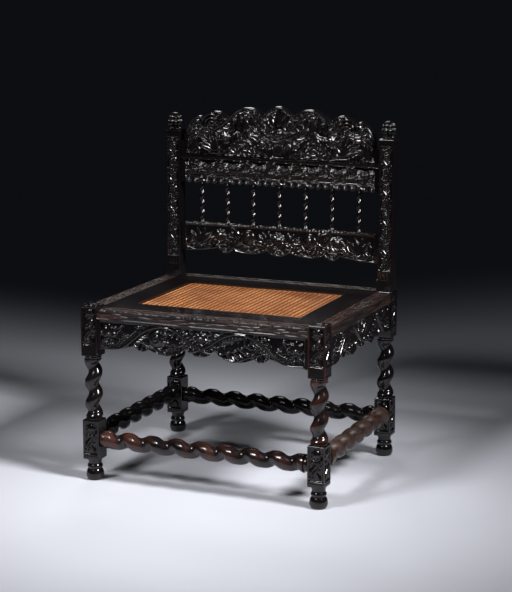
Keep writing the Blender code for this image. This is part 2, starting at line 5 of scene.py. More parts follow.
import bmesh
import bpy
import numpy as np
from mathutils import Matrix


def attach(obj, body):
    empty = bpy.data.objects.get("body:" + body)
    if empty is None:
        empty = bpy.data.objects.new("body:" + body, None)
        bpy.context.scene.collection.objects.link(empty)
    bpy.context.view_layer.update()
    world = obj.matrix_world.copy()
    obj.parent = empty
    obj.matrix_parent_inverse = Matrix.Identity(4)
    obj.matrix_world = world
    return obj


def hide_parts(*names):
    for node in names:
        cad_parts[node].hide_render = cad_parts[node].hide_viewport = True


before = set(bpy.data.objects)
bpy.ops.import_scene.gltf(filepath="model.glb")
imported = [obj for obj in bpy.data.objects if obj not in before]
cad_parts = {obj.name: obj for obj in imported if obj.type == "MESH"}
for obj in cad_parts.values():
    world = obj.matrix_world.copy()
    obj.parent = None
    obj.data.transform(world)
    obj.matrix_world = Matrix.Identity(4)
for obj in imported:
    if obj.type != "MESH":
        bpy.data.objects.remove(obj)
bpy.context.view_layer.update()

# Lengths below are in millimetres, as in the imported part
MM = 0.001
FIT = 0.3
HALF_X = 273.5
HALF_Y = 220.5
SEAT = 401.0
LEG_RISE = 9.0
CROWN_RISE = 3.0
BLOCK = 40.0
FOOT_HEIGHT = 50.0
LOWER_BLOCK_TOP = 142.0
UPPER_BLOCK_BOTTOM = 291.0
POST_TOP = 759.0
STILE = 35.0
PLINTH = 38.5
PLINTH_HEIGHT = 27.5
CAP_HEIGHT = 10.5
FINIAL_HEIGHT = 41.0
FINIAL_DIAMETER = 39.0
FRONT_STRETCHER_HEIGHT = 96.0
SIDE_STRETCHER_HEIGHT = 104.0
FRONT_STRETCHER_RADIUS = 20.8
SIDE_STRETCHER_RADIUS = 22.0
STRETCHER_CORE_RADIUS = 12.4
STRETCHER_END = 12.0
SEAT_RAIL_THICKNESS = 24.0
SEAT_BORDER = 34.0
CANE_HALF_X = 198.0
CANE_HALF_Y = 145.0
CANE_DROP = 4.0
CANE_INSET = 5.5
CANE_COLUMNS = 31
CANE_ROWS = 23
CANE_HOLE_PITCH = 12.7
APRON_HEIGHT = 46.0
APRON_LOBE = 21.5
APRON_THICKNESS = 20.0
APRON_SETBACK = 3.0
APRON_DATUM = 380.7
APRON_DRAWN_HALF = 253.2
BACK_APRON_HEIGHT = 56.0
BACK_HALF = 255.7
BACK_RAIL_THICKNESS = 20.0
CREST_END_HEIGHT = 34.0
CREST_END_GAP = 14.5
CREST_END_SETBACK = 2.0
CREST_END_OVERLAP = 2.0
CREST_HALF = BACK_HALF - CREST_END_GAP
CREST_RISE = 99.0
CREST_LOBE = 24.0
BAND_HEIGHT = 12.0
BAND_PROUD = 3.0
UPPER_RAIL_TOP = 701.0
UPPER_RAIL_BOTTOM = 637.0
LOWER_RAIL_TOP = 535.0
LOWER_RAIL_BOTTOM = 477.0
LOWER_RAIL_LOBE = 14.0
SPINDLE_COUNT = 7
SPINDLE_PITCH = 67.4
SPINDLE_DIAMETER = 12.5
FRINGE_DEPTH = 5.0
FRINGE_SCALLOPS = 3
LOBE_FULLNESS = 0.7
HOLLOW_POWER = 1.7
TURNING_FACETS = 56
# Sides of the chair: turn about the vertical, half length between legs, distance out
SIDES = {
    "front": (0, HALF_X, HALF_Y),
    "right": (90, HALF_Y, HALF_X),
    "back": (180, HALF_X, HALF_Y),
    "left": (270, HALF_Y, HALF_X),
    "panel": (0, HALF_X, -HALF_Y),
}

# Lobed edges from the middle out: share of the half length, level there, bulge, part of the arch
APRON_EDGE = ((0.135, 0.00, 0.79, 0.5, 1.0), (0.500, 0.45, 0.78, 0.0, 1.0),
              (0.640, 0.30, 0.44, 0.0, 1.0), (1.000, 0.50, 0.50, 0.0, 0.5))
CREST_EDGE = ((0.153, 1.00, 1.00, 0.5, 1.0), (0.550, 0.91, 0.96, 0.0, 1.0),
              (0.810, 0.86, 0.79, 0.0, 1.0), (1.000, 0.51, 0.92, 0.0, 1.0))
LOWER_RAIL_EDGE = ((0.115, 0.00, 0.93, 0.5, 1.0), (0.470, 0.00, 0.82, 0.0, 1.0),
                   (0.610, 0.00, 1.00, 0.0, 1.0), (1.000, 0.00, 0.86, 0.0, 0.5))
# Turned foot: levels and radii
FOOT = ((0, 15.2), (2, 17.8), (7, 19.8), (12, 20.5), (18, 19.8), (22.5, 18.2), (25.5, 16.4), (27, 15.8),
        (28.5, 16.6), (30.5, 17.6), (33, 17.7), (35.5, 16.6), (37.5, 15.4), (40.5, 15.0), (45, 15.8),
        (51, 18.0))
# Finial: shares of its height and of its radius
FINIAL = ((0.00, 0.74), (0.06, 0.76), (0.10, 0.66), (0.17, 0.64), (0.23, 0.72), (0.31, 0.92), (0.41, 1.00),
          (0.50, 0.97), (0.57, 0.88), (0.60, 0.82), (0.63, 0.82), (0.68, 0.86), (0.77, 0.82), (0.87, 0.66),
          (0.95, 0.42), (1.00, 0.10))
# Moulded band over the upper rail: shares of its height and of how far it stands proud
BAND_STEPS = ((0.0, 0.3), (0.16, 0.3), (0.17, -0.4), (0.26, -0.4), (0.27, 0.5), (0.70, 0.5), (0.71, 0.0),
              (0.80, 0.0), (0.81, 0.7), (1.0, 0.7))

# Fineness of the carved surfaces and of their height maps, bevel of the posts, rounds of softening
GRID = 0.85
CELL = 0.425
BEVEL = 0.9
SOFTENING = 7
# How far the ground of the carving lies below the face on boards, posts and seat borders
CARVING_DEPTH = 6.0
POST_DEPTH = 3.6
BAND_DEPTH = 3.0
# Share of the height that the steep sides of a stem and of a leaf take, and how far a leaf leans out
STEM_WALL = 0.66
LEAF_WALL = 0.4
LEAF_LEAN = 0.75
# Bead at the ends of a spiral and the neck beside it, as shares of the radius, and the neck's length
BEAD_FOOT = 0.78
BEAD_SWELL = 0.14
NECK = 0.86
NECK_LENGTH = 2.0
# Angle over which an edge stays sharp, in degrees
TURNED_SHARP = 50
CANE_SHARP = 70
CARVED_SHARP = 78

# Carved forms of the right half, mirrored on the left: lists of what the method of each name takes
APRON_FORMS = {
    "ridge": (
        (((250, -66), (208, -67), (184, -58), (160, -39), (137, -22), (112, -11), (86, -9), (62, -15),
          (42, -26), (22, -40), (0, -51), (-28, -58), (-56, -65), (-80, -70)), 7.4, 8.6),
        (((84, -70), (116, -58), (140, -50)), 6.0, 7.4)),
    "flower": ((225, -34, 22, 8, 7.4),),
    "berry": ((221, -57, 4.8, 6.4),),
    "fan": ((200, -46, 3, 24, 60, 150, 4, 6.4), (190, -14, 2, 20, -20, -100, 4, 5.8),
            (160, -12, 2, 17, 190, 290, 3, 5.6), (30, -12, 2, 18, 150, 240, 3, 5.6)),
    "petal": [(u, -50, -74, 21, 11, 6.8) for u in (121, 133.5, 146)],
}
APRON_MIDDLE_FORMS = {"berry": ((11, -63, 8.4, 8.2),), "petal": ((24, -46, -62, 15, 9, 6.2),)}
CREST_FORMS = {
    "ridge": (
        (((176, 5), (150, 5), (132, 11), (112, 28), (96, 38), (82, 38), (73, 31), (78, 23)), 6.4, 8.0, 0.8),
        (((166, 64), (148, 73), (132, 86), (116, 101), (98, 110)), 11.0, 8.4, 0.4),
        (((34, 70), (44, 82), (58, 95), (74, 107)), 10.0, 8.2, 0.4),
        (((32, 3), (52, 14), (68, 28), (78, 42)), 4.0, 7.4, 0.8),
        (((46, 3), (62, 10), (80, 24), (92, 40)), 4.0, 7.4, 0.8),
        (((237, 14), (238, 40), (230, 64), (214, 78)), 4.8, 7.2, 0.7),
        (((30, 44), (46, 52), (58, 66), (60, 80)), 4.2, 7.0, 0.7)),
    "arcs": ((174, 74, (7.5, 16, 24.5), -5, 125, 7.2, 8.2),),
    "flower": ((138, 46, 15, 7, 7.0), (42, 32, 10, 6, 6.2)),
    "berry": ((86, 97, 7.5, 8.0), (216, 62, 6.4, 7.4), (17, 60, 5.0, 7.0)),
    "fan": ((86, 68, 2, 27, 228, 312, 4, 7.6), (64, 3, 4, 24, 10, 70, 3, 6.2),
            (106, 3, 4, 26, 30, 120, 4, 6.6), (156, 8, 5, 56, 20, 74, 5, 7.6)),
    "petal": ((86, 62, 90, 32, 19, 8.2), (69, 72, 84, 30, 11, 7.0), (103, 66, 88, 38, 12, 7.0),
              (117, 62, 78, 34, 12, 6.8), (228, 4, 108, 38, 19, 7.6), (206, 4, 66, 28, 13, 6.6),
              (11, 74, 64, 36, 13, 7.2)),
}
LOWER_RAIL_FORMS = {
    "ridge": (
        (((240, -2), (214, -8), (190, -4), (168, 6), (148, 4), (126, 6), (114, 16), (120, 38)), 4.6, 7.0),
        (((112, -6), (84, -10), (58, -4), (40, 8), (28, 20)), 4.4, 6.8)),
    "flower": ((152, 30, 16, 8, 6.8),),
    "rose": ((80, 26, 19, 7.4),),
    "berry": ((138, -4, 4.4, 7.0), (138, -10.5, 3.4, 6.6), (9, -6, 5.4, 6.8)),
    "fan": ((204, 4, 4, 42, 48, 132, 4, 7.2, 1.1), (30, 16, 4, 30, 10, 100, 4, 6.8)),
    "petal": ((236, 4, 104, 30, 16, 6.8), (104, 26, 62, 26, 14, 7.0),
              *((u, 8, -66, 20, 10, 6.4) for u in (36, 46, 56, 66))),
}
# Which of a form's values are angles to mirror
FORM_ANGLES = {"petal": (2,), "fan": (4, 5), "arcs": (3, 4)}

# Colours of the wood, and the range of its roughness by finish
BLACK = (0.0046, 0.0040, 0.0046, 1)
BROWN = (0.020, 0.009, 0.007, 1)
RUBBED = (0.070, 0.032, 0.022, 1)
WORN = (0.048, 0.016, 0.011, 1)
# Lighter colour for the bulges of the right stretcher: partly faded wear, partly painted light
LIT_AND_FADED = (0.058, 0.039, 0.031, 1)
# Tan for the carved ridges of the seat rails: partly wear, partly painted highlight
TAN = (0.17, 0.105, 0.075, 1)
FINE = (0.09, 0.15)
EVEN = (0.13, 0.24)
HANDLED = (0.14, 0.26)
DULL = (0.30, 0.46)
# Axis of the grain
ALONG_X, ALONG_Y, UPRIGHT = range(3)
# Radii between which wear sets in on a spiral and on a block's corners, and its fade at a spiral's ends
WORN_SPIRAL = (14.0, 19.2)
WORN_CORNER = (25.5, 27.5)
WEAR_FADE = 4.0

# Lamps: turn and rise of where they stand in degrees, distance, size, watts, width of the cone, target
FRONT_TARGET = (0.05, -0.34, 0.48)
LAMPS = {
    "key_left": (-117, 45, 2.6, 0.6, 4.4, 45, FRONT_TARGET),
    "key_right": (-8, 42, 2.6, 0.6, 10.0, 45, FRONT_TARGET),
    "back_light": (116, 42, 2.8, 0.8, 1.0, 40, (0.0, 0.0, 0.6)),
}
# Camera, in metres and radians, and its lens
CAMERA_PLACE = (1.5697, -3.6434, 1.2037)
CAMERA_DOWN = 0.1982
CAMERA_TURN = 0.3992
FOCAL_LENGTH = 106.92


class Shell:
    """Points and faces of one piece, gathered patch by patch."""

    def __init__(self):
        self.points = []
        self.quads = []
        self.caps = []
        self.count = 0

    def grid(self, points, closed):
        """Quads over rows and columns of points, closed along one axis; gives their numbers."""
        numbers = self.count + np.arange(points[..., 0].size).reshape(points.shape[:2])
        self.points.append(points.reshape(-1, 3))
        self.count += numbers.size
        whole = np.concatenate([numbers, numbers.take([0], closed)], closed)
        corners = (whole[:-1, :-1], whole[:-1, 1:], whole[1:, 1:], whole[1:, :-1])
        self.quads.append(np.stack(corners, axis=-1).reshape(-1, 4))
        return numbers

    def cap(self, numbers, points, facing):
        """One flat face over a closed line of points, turned to face a direction."""
        normal = np.cross(points, np.roll(points, -1, axis=0)).sum(axis=0)
        self.caps.append(numbers[::-1] if normal @ np.array(facing) < 0 else numbers)

    def tube(self, rings):
        """A closed body through rows of rings."""
        numbers = self.grid(rings, closed=1)
        axis = rings[-1].mean(axis=0) - rings[0].mean(axis=0)
        self.cap(numbers[0], rings[0], -axis)
        self.cap(numbers[-1], rings[-1], axis)

    def bar(self, lines):
        """A closed body along X through lines that lie round it."""
        numbers = self.grid(lines, closed=0)
        for end, facing in ((0, -1), (-1, 1)):
            self.cap(numbers[:, end], lines[:, end], (facing, 0, 0))


class Relief:
    """Carved heights over a rectangle, raised form by form from a flat ground."""

    def __init__(self, left, right, low, high):
        self.left = left
        self.low = low
        self.columns = int((right - left) / CELL) + 2
        self.rows = int((high - low) / CELL) + 2
        self.across = left + CELL * np.arange(self.columns)
        self.up = low + CELL * np.arange(self.rows)
        self.height = np.zeros((self.rows, self.columns))
        self.stems = []

    def near(self, u, v, reach):
        """The heights near a point, and how far across and up from it they lie."""
        cells = []
        for start in (v - self.low, u - self.left):
            first = max(0, int((start - reach) / CELL))
            cells.append(slice(first, max(first, int((start + reach) / CELL) + 2)))
        rows, columns = cells
        return self.height[rows, columns], self.across[columns] - u, (self.up[rows] - v)[:, None]

    def berry(self, u, v, radius, height):
        """A round bead."""
        part, across, up = self.near(u, v, radius)
        dome = np.sqrt(np.clip(1 - (across ** 2 + up ** 2) / radius ** 2, 0, 1))
        np.maximum(part, height * dome, out=part)

    def ridge(self, points, width, height, tip=1.0):
        """A rounded stem along a smooth line, tapering to a share of its width."""
        path = smooth_line(points, 0.3)
        self.stems.append(path[::9])
        for share, (u, v) in zip(np.linspace(0, 1, len(path)), path):
            taper = 1 + (tip - 1) * share
            radius = width / 2 * taper
            part, across, up = self.near(u, v, radius)
            dome = np.clip(1 - (across ** 2 + up ** 2) / radius ** 2, 0, 1)
            np.maximum(part, height * math.sqrt(taper) * plump(dome, STEM_WALL), out=part)

    def petal(self, u, v, angle, length, width, height):
        """A petal or leaf finger from its base, its lower end leaning out."""
        cos, sin = direction(angle)
        reach = 0.7 * length + width / 2
        part, across, up = self.near(u + cos * length / 2, v + sin * length / 2, reach)
        along = np.clip((across * cos + up * sin) / length + 0.5, 0.0, 1.0)
        aside = up * cos - across * sin
        half = width / 2 * np.sin(math.pi * along ** 0.75) ** 0.8 + 1e-4
        dome = np.clip(1 - (aside / half) ** 2, 0, 1)
        upward = along if sin > 0 else 1 - along
        lean = 1 - LEAF_LEAN * abs(sin) * upward
        np.maximum(part, height * plump(dome, LEAF_WALL) * lean, out=part)

    def fan(self, u, v, inner, outer, start, end, count, height, fullness=1.0):
        """Petals spread about a point from one angle to another."""
        step = (end - start) / (count - 1)
        width = fullness * 2 * math.pi * outer * 0.75 * abs(step) / 360
        for i in range(count):
            angle = start + step * i
            cos, sin = direction(angle)
            self.petal(u + inner * cos, v + inner * sin, angle, outer - inner, width, height)

    def flower(self, u, v, radius, petals, height, turn=0.0):
        """A round flower: two rows of petals about a boss."""
        spread = 360 * (petals - 1) / petals
        between = turn + 180 / petals
        self.fan(u, v, 0.25 * radius, radius, turn, turn + spread, petals, 0.8 * height, 1.15)
        self.fan(u, v, 0.1 * radius, 0.62 * radius, between, between + spread, petals, height, 1.1)
        self.berry(u, v, 0.24 * radius, 1.15 * height)

    def rose(self, u, v, radius, height):
        """A round bloom of overlapping petals that wind out from its middle."""
        part, across, up = self.near(u, v, radius)
        out = np.hypot(across, up) / radius
        turn = np.arctan2(up, across)
        petals = 0.12 * np.abs(np.sin(2.5 * turn + 5 * out))
        rings = 0.5 + 0.5 * np.cos(2 * math.pi * (2.4 * out + turn / (2 * math.pi)))
        dome = np.sqrt(np.clip(1 - out ** 2, 0, 1))
        np.maximum(part, height * dome * (0.68 + 0.2 * rings + petals), out=part)

    def leaf(self, points, width, height, pairs):
        """A leaf of paired fingers along a curved rib."""
        path = smooth_line(points)
        for i in range(pairs + 1):
            place = int((len(path) - 2) * i / (pairs + 0.4))
            run = path[place + 1] - path[place]
            heading = math.degrees(math.atan2(run[1], run[0]))
            size = width * (0.55 + 0.45 * math.sin(math.pi * (0.25 + 0.7 * i / pairs)))
            spreads = (-48, 48) if i < pairs else (0,)
            for spread in spreads:
                self.petal(*path[place], heading + spread, 0.62 * size, 0.36 * size, height)
        self.ridge(points, 0.14 * width, 1.05 * height, 0.5)

    def arcs(self, u, v, radii, start, end, width, height):
        """Round stems, one inside the other, about a point."""
        angles = np.radians(np.linspace(start, end, 9))
        for radius in radii:
            self.ridge(joined(u + radius * np.cos(angles), v + radius * np.sin(angles)), width, height)

    def pair(self, forms, scale=1.0):
        """Forms of the right half, stretched along, there and mirrored on the left."""
        for hand in (-1, 1):
            for kind, rows in forms.items():
                for place, *rest in rows:
                    if kind == "ridge":
                        place = [(hand * scale * u, v) for u, v in place]
                    else:
                        place *= hand * scale
                    values = [place, *rest]
                    for i in FORM_ANGLES.get(kind, ()):
                        values[i] = values[i] if hand > 0 else 180 - values[i]
                    getattr(self, kind)(*values)

    def rim(self, half, count, level, width, height):
        """A stem along an edge whose level is worked out at a count of places."""
        edge = np.linspace(3 - half, half - 3, count)
        self.ridge(joined(edge, level(edge)), width, height)

    def feathers(self, pitch, reach, height):
        """Bunches of slanting leaf fingers that grow from the stems over bare ground."""
        kept = self.height > 0.6
        for axis in (0, 1, 0, 1):
            kept = kept | np.roll(kept, 1, axis) | np.roll(kept, -1, axis)
        runs = np.concatenate([np.diff(stem, axis=0) for stem in self.stems])
        sizes = np.linalg.norm(runs, axis=1)
        runs /= sizes[:, None]
        grown = np.cumsum(sizes)
        roots = np.concatenate([stem[:-1] for stem in self.stems])
        across = self.across[:, None] - roots[:, 0]
        column = np.arange(self.columns)
        for j in range(self.rows):
            up = self.up[j] - roots[:, 1]
            gap = across ** 2 + up ** 2
            near = np.argmin(gap, axis=1)
            out = np.sqrt(gap[column, near])
            along = grown[near] + across[column, near] * runs[near, 0] + up[near] * runs[near, 1]
            finger = np.mod((along - 0.9 * out) / pitch, 1.0)
            longest = reach * (0.5 + 0.5 * np.abs(np.sin(math.pi * along / (5 * pitch))))
            tip = np.clip(2.5 * (1 - out / longest), 0, 1)
            rise = height * plump(1 - (2 * finger - 1) ** 2, LEAF_WALL) * np.sqrt(tip)
            self.height[j] = np.where(kept[j], self.height[j], np.maximum(self.height[j], rise))

    def border(self, left, right, low, high, level):
        """A plain raised frame outside a rectangle."""
        up = self.up[:, None]
        outside = (self.across < left) | (self.across > right) | (up < low) | (up > high)
        self.height[outside] = level

    def finish(self):
        """Soften the tool marks."""
        for axis in (0, 1) * SOFTENING:
            beside = np.roll(self.height, 1, axis) + np.roll(self.height, -1, axis)
            self.height = 0.5 * self.height + 0.25 * beside
        return self

    def at(self, u, v):
        """Heights at any points, between the cells."""
        across = np.clip((u - self.left) / CELL, 0, self.columns - 1.001)
        up = np.clip((v - self.low) / CELL, 0, self.rows - 1.001)
        i = across.astype(int)
        j = up.astype(int)
        a = across - i
        b = up - j
        lower = self.height[j, i] * (1 - a) + self.height[j, i + 1] * a
        upper = self.height[j + 1, i] * (1 - a) + self.height[j + 1, i + 1] * a
        return lower * (1 - b) + upper * b


def direction(angle):
    """Cosine and sine of an angle in degrees."""
    return math.cos(math.radians(angle)), math.sin(math.radians(angle))


def joined(*parts):
    """Points from their coordinates, a single value standing for all."""
    return np.stack(np.broadcast_arrays(*parts), axis=-1)


def plump(dome, wall):
    """A dome made fuller, with steep sides for a share of its height."""
    return wall * np.clip(2.5 * dome, 0, 1) + (1 - wall) * dome


def smooth_line(points, step=0.7):
    """Close points on a smooth line through the given ones."""
    given = np.asarray(points, float)
    given = np.vstack([2 * given[0] - given[1], given, 2 * given[-1] - given[-2]])
    line = []
    for before, start, end, after in zip(given, given[1:], given[2:], given[3:]):
        count = max(2, int(np.linalg.norm(end - start) / step))
        t = np.linspace(0, 1, count, endpoint=False)[:, None]
        bend = 2 * before - 5 * start + 4 * end - after
        twist = -before + 3 * start - 3 * end + after
        line.append(0.5 * (2 * start + (end - before) * t + bend * t ** 2 + twist * t ** 3))
    line.append(given[-2:-1])
    return np.vstack(line)


def lobed(u, half, rise, lobe, lobes):
    """Level of a lobed edge, the same on both sides of its middle."""
    share = np.abs(u) / half
    level = np.zeros_like(share)
    start, start_level = 0.0, lobes[0][1]
    for end, end_level, bulge, arch_from, arch_to in lobes:
        inside = (share >= start) & (share <= end + 1e-9)
        t = (share[inside] - start) / (end - start)
        arch = np.clip(np.sin(math.pi * (arch_from + (arch_to - arch_from) * t)), 0, 1)
        slope = start_level + (end_level - start_level) * t
        level[inside] = rise * slope + lobe * bulge * arch ** LOBE_FULLNESS
        start, start_level = end, end_level
    return level


def steps(low, high, size=GRID):
    """Even steps of about one size from one place to another."""
    return np.linspace(low, high, round((high - low) / size) + 1)


def apron_edge(half, top):
    """Lower edge of a lobed apron."""
    return lambda u: top - APRON_HEIGHT - lobed(u, half, APRON_LOBE, APRON_LOBE, APRON_EDGE)


def crest_level(u):
    """Upper edge of the crest over its foot."""
    return lobed(u, CREST_HALF, CREST_RISE, CREST_LOBE, CREST_EDGE)


def lower_rail_drop(u):
    """How far the lobes of the lower back rail hang under its cusps."""
    return lobed(u, BACK_HALF, LOWER_RAIL_LOBE, LOWER_RAIL_LOBE, LOWER_RAIL_EDGE)


def fringe_level(u):
    """Lower edge of the upper rail: flat over each spindle, scalloped between."""
    bay = np.mod(u + SPINDLE_PITCH / 2 * ((SPINDLE_COUNT + 1) % 2), SPINDLE_PITCH)
    flat = SPINDLE_DIAMETER / 2
    share = np.clip((bay - flat) / (SPINDLE_PITCH - 2 * flat), 0, 1)
    scallop = np.abs(np.sin(math.pi * FRINGE_SCALLOPS * share)) ** LOBE_FULLNESS
    return UPPER_RAIL_BOTTOM - FRINGE_DEPTH * scallop


def round_sides():
    """The sides under the seat, each with half its length between the legs."""
    for side in ("front", "right", "back", "left"):
        yield side, SIDES[side][1] - BLOCK / 2 - FIT


def on_side(points, side):
    """Move points drawn along X, facing -Y, to one side of the chair."""
    turn, _, out = SIDES[side]
    cos, sin = direction(turn)
    x = points[:, 0] * cos - points[:, 1] * sin + out * sin
    y = points[:, 0] * sin + points[:, 1] * cos - out * cos
    return joined(x, y, points[:, 2])


def new_object(name, data):
    """An object of some data, linked to the scene."""
    item = bpy.data.objects.new(name, data)
    bpy.context.scene.collection.objects.link(item)
    return item


def put(name, mesh, material, slot, *nodes):
    """Stand a mesh in the scene, riding on the chair and in place of any CAD nodes given."""
    mesh.materials.append(material)
    piece = new_object(name, mesh)
    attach(piece, "root")
    if nodes:
        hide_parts(*nodes)


def add_piece(name, shell, material, slot, node, side=None, sharp=TURNED_SHARP):
    """Make one piece of a shell, in place of its CAD node."""
    points = np.concatenate(shell.points)
    if side:
        points = on_side(points, side)
    faces = np.concatenate(shell.quads).tolist() + [cap.tolist() for cap in shell.caps]
    mesh = bpy.data.meshes.new(name)
    mesh.from_pydata(points * MM, [], faces)
    mesh.validate()
    mesh.shade_smooth()
    mesh.set_sharp_from_angle(angle=math.radians(sharp))
    put(name, mesh, material, slot, node)


def carved_board(shell, half, low, high, face, back, lift=None, middle=0.0):
    """A board along X facing -Y between two edges or levels, its face lifted by a carving."""
    u = steps(-half, half)
    bottom, top = [edge(u) if callable(edge) else np.full_like(u, edge) for edge in (low, high)]
    rows = round((top - bottom).max() / GRID) + 1
    v = bottom + (top - bottom) * np.linspace(0, 1, rows)[:, None]
    lines = [joined(middle + u, face - lift(u, v) if lift else face, v)]
    lines += [joined(middle + u, back, level)[None] for level in (top, bottom)]
    shell.bar(np.concatenate(lines))


def square_post(shell, x, y, levels, halves, carvings):
    """A square post with bevelled corners, carved or plain on each face from the front round."""
    levels = levels[:, None]
    halves = halves[:, None]
    fine = np.linspace(-1, 1, round(2 * halves.max() / GRID))
    plain = np.array((-1, -0.96, -0.92, 0.92, 0.96, 1))
    faces = []
    for turn, carving in zip((0, 90, 180, 270), carvings):
        u = (fine if carving else plain) * (halves - BEVEL)
        out = halves + (carving(u, levels) if carving else 0)
        cos, sin = direction(turn)
        faces.append(joined(x + u * cos + out * sin, y + u * sin - out * cos, levels))
    shell.tube(np.concatenate(faces, axis=1))


def angles_round(facets):
    """Angles evenly round a ring."""
    return np.linspace(0, 2 * math.pi, facets, endpoint=False)


def rings_of(radius, level, x=0.0, y=0.0):
    """Rings about an upright axis, from radii by ring and angle and levels by ring."""
    angle = angles_round(radius.shape[1])
    return joined(x + radius * np.cos(angle), y + radius * np.sin(angle), level)


def turned(shell, x, y, base, profile, facets=48, flutes=0, depth=0.0):
    """A turned form through levels and radii, with flutes round it if asked."""
    line = smooth_line(profile)
    ripple = 1 - depth * (1 - np.abs(np.sin(flutes * angles_round(facets) / 2)) ** 0.7)
    radius = np.clip(line[:, 1:2], 0.05, None) * ripple
    shell.tube(rings_of(radius, base + line[:, :1], x, y))


def spiral(start, end, radius, depth, pitch, fade, facets=TURNING_FACETS, step=1.5, first_turn=0.0,
           collar=0.0, power=HOLLOW_POWER):
    """Rings of a spiral along Z that fades at both ends, with a bead there if asked."""
    station = steps(start, end, step)[:, None]
    nearest = np.minimum(station - start, end - station)
    share = np.clip((nearest - collar) / fade, 0, 1)
    turn = math.radians(first_turn) + 2 * math.pi * (station - start) / pitch
    hollow = (0.5 - 0.5 * np.cos(angles_round(facets) - turn)) ** power
    out = radius - depth * share * hollow
    if collar:
        bead = np.sqrt(np.clip(1 - (2 * nearest / collar - 1) ** 2, 0, 1))
        neck = (nearest > collar) & (nearest < collar + NECK_LENGTH)
        out = np.where(nearest <= collar, radius * (BEAD_FOOT + BEAD_SWELL * bead), out)
        out = np.where(neck, np.minimum(out, NECK * radius), out)
    return rings_of(out, station)


def running_vine(art, start, end, middle, reach, half_wave, height, leafy=False):
    """A waving stem with flowers or leaf fingers in its hollows and leaves at its crossings."""
    count = round((end - start) / half_wave)
    step = (end - start) / count
    u = np.linspace(start, end, 8 * count + 1)
    v = middle + reach * np.sin(math.pi * (u - start) / step)
    art.ridge(joined(u, v), 0.4 * reach, height)
    for i in range(count + 1):
        side = (-1) ** i
        hollow = start + step * (i + 0.5)
        if i < count and leafy:
            foot = middle - (0.42 * side + 0.7) * reach
            for aside in (-0.55, 0.0, 0.55):
                art.petal(hollow + (aside - 0.4) * reach, foot, 62, 1.4 * reach, 0.6 * reach, height)
        elif i < count:
            art.flower(hollow, middle - 0.42 * side * reach, 0.8 * reach, 6, height, 17 * i)
        for up in (-90, 90):
            foot = middle + math.copysign(0.35 * reach, up)
            art.fan(start + step * i, foot, 0.1 * reach, 1.15 * reach, up - 46, up + 46, 3, 0.9 * height, 0.8)


def apron_carving(half, low_edge):
    """Crossing stems, flowers and hanging leaves on an apron, measured down from APRON_DATUM."""
    art = Relief(-half, half, -76, 2)
    scale = half / APRON_DRAWN_HALF
    art.rim(half, 160, lambda u: low_edge(u) - APRON_DATUM + 2.2, 4.2, 5.0)
    art.pair(APRON_FORMS, scale)
    art.pair(APRON_MIDDLE_FORMS)
    art.flower(0, -26, 15, 7, 7.0, 90)
    art.rose(-108 * scale, -36, 21, 7.4)
    art.fan(-64 * scale, -52, 6, 32, 25, 155, 5, 7.0)
    art.fan(-78 * scale, -22, 2, 18, 180, 300, 4, 6.0)
    rib = ((44, -58), (66, -52), (92, -42), (116, -30), (130, -22))
    art.leaf([(u * scale, v) for u, v in rib], 42, 7.2, 5)
    art.feathers(pitch=9.0, reach=24, height=5.0)
    art.border(-half + 9, half - 9, -100, -7, CARVING_DEPTH)
    return art.finish()


def crest_carving():
    """Scrolls, buds, leaf clusters and a flower bowl on the crest, measured up from its foot."""
    art = Relief(-CREST_HALF, CREST_HALF, 0, CREST_RISE + CREST_LOBE + 2)
    art.rim(CREST_HALF, 170, lambda u: crest_level(u) - 2.8, 5.0, 6.4)
    art.pair(CREST_FORMS)
    art.petal(0, 76, 90, 44, 17, 8.4)
    art.fan(0, 6, 4, 40, 46, 134, 7, 7.6, 1.1)
    art.ridge(((-25, 44), (-12, 40), (0, 39), (12, 40), (25, 44)), 6.0, 8.4)
    art.berry(0, 58, 9.0, 8.4)
    art.feathers(pitch=15.0, reach=32, height=5.4)
    return art.finish()


def frieze_carving():
    """Vine on the upper rail with a moulded band over it and a fringe below."""
    height = UPPER_RAIL_TOP - UPPER_RAIL_BOTTOM
    vine_half = 3.5 * SPINDLE_PITCH
    art = Relief(-BACK_HALF, BACK_HALF, -FRINGE_DEPTH - 1, height)
    running_vine(art, -vine_half, vine_half, 31, 11.5, SPINDLE_PITCH / 2, 6.8, leafy=True)
    art.feathers(pitch=12.0, reach=14, height=5.0)
    art.height[: int((FRINGE_DEPTH + 9) / CELL)] = 0
    art.ridge([(-BACK_HALF, 10), (BACK_HALF, 10)], 2.6, 5.0)
    gap = (SPINDLE_PITCH - SPINDLE_DIAMETER) / FRINGE_SCALLOPS
    arch = ((-9, -1), (-6, 5), (0, 7.5), (6, 5), (9, -1))
    for i in range(SPINDLE_COUNT + 1):
        bay = (i - SPINDLE_COUNT / 2) * SPINDLE_PITCH
        for j in range(FRINGE_SCALLOPS):
            u = bay + (j - (FRINGE_SCALLOPS - 1) / 2) * gap
            art.petal(u, 9, -90, 13.5, 0.85 * gap, 6.2)
            art.berry(u, -1.4, 3.2, 6.4)
        spindle = bay + SPINDLE_PITCH / 2
        art.ridge([(spindle + u, v) for u, v in arch], 2.8, 6.2)
    art.border(-BACK_HALF + 13, BACK_HALF - 13, -20, 100, CARVING_DEPTH - 1.5)
    art.finish()
    up = (art.up - height + BAND_HEIGHT) / BAND_HEIGHT
    swell = CARVING_DEPTH + BAND_PROUD * np.interp(up, *zip(*BAND_STEPS))
    art.height = np.where((up > 0)[:, None], swell[:, None], art.height)
    return art


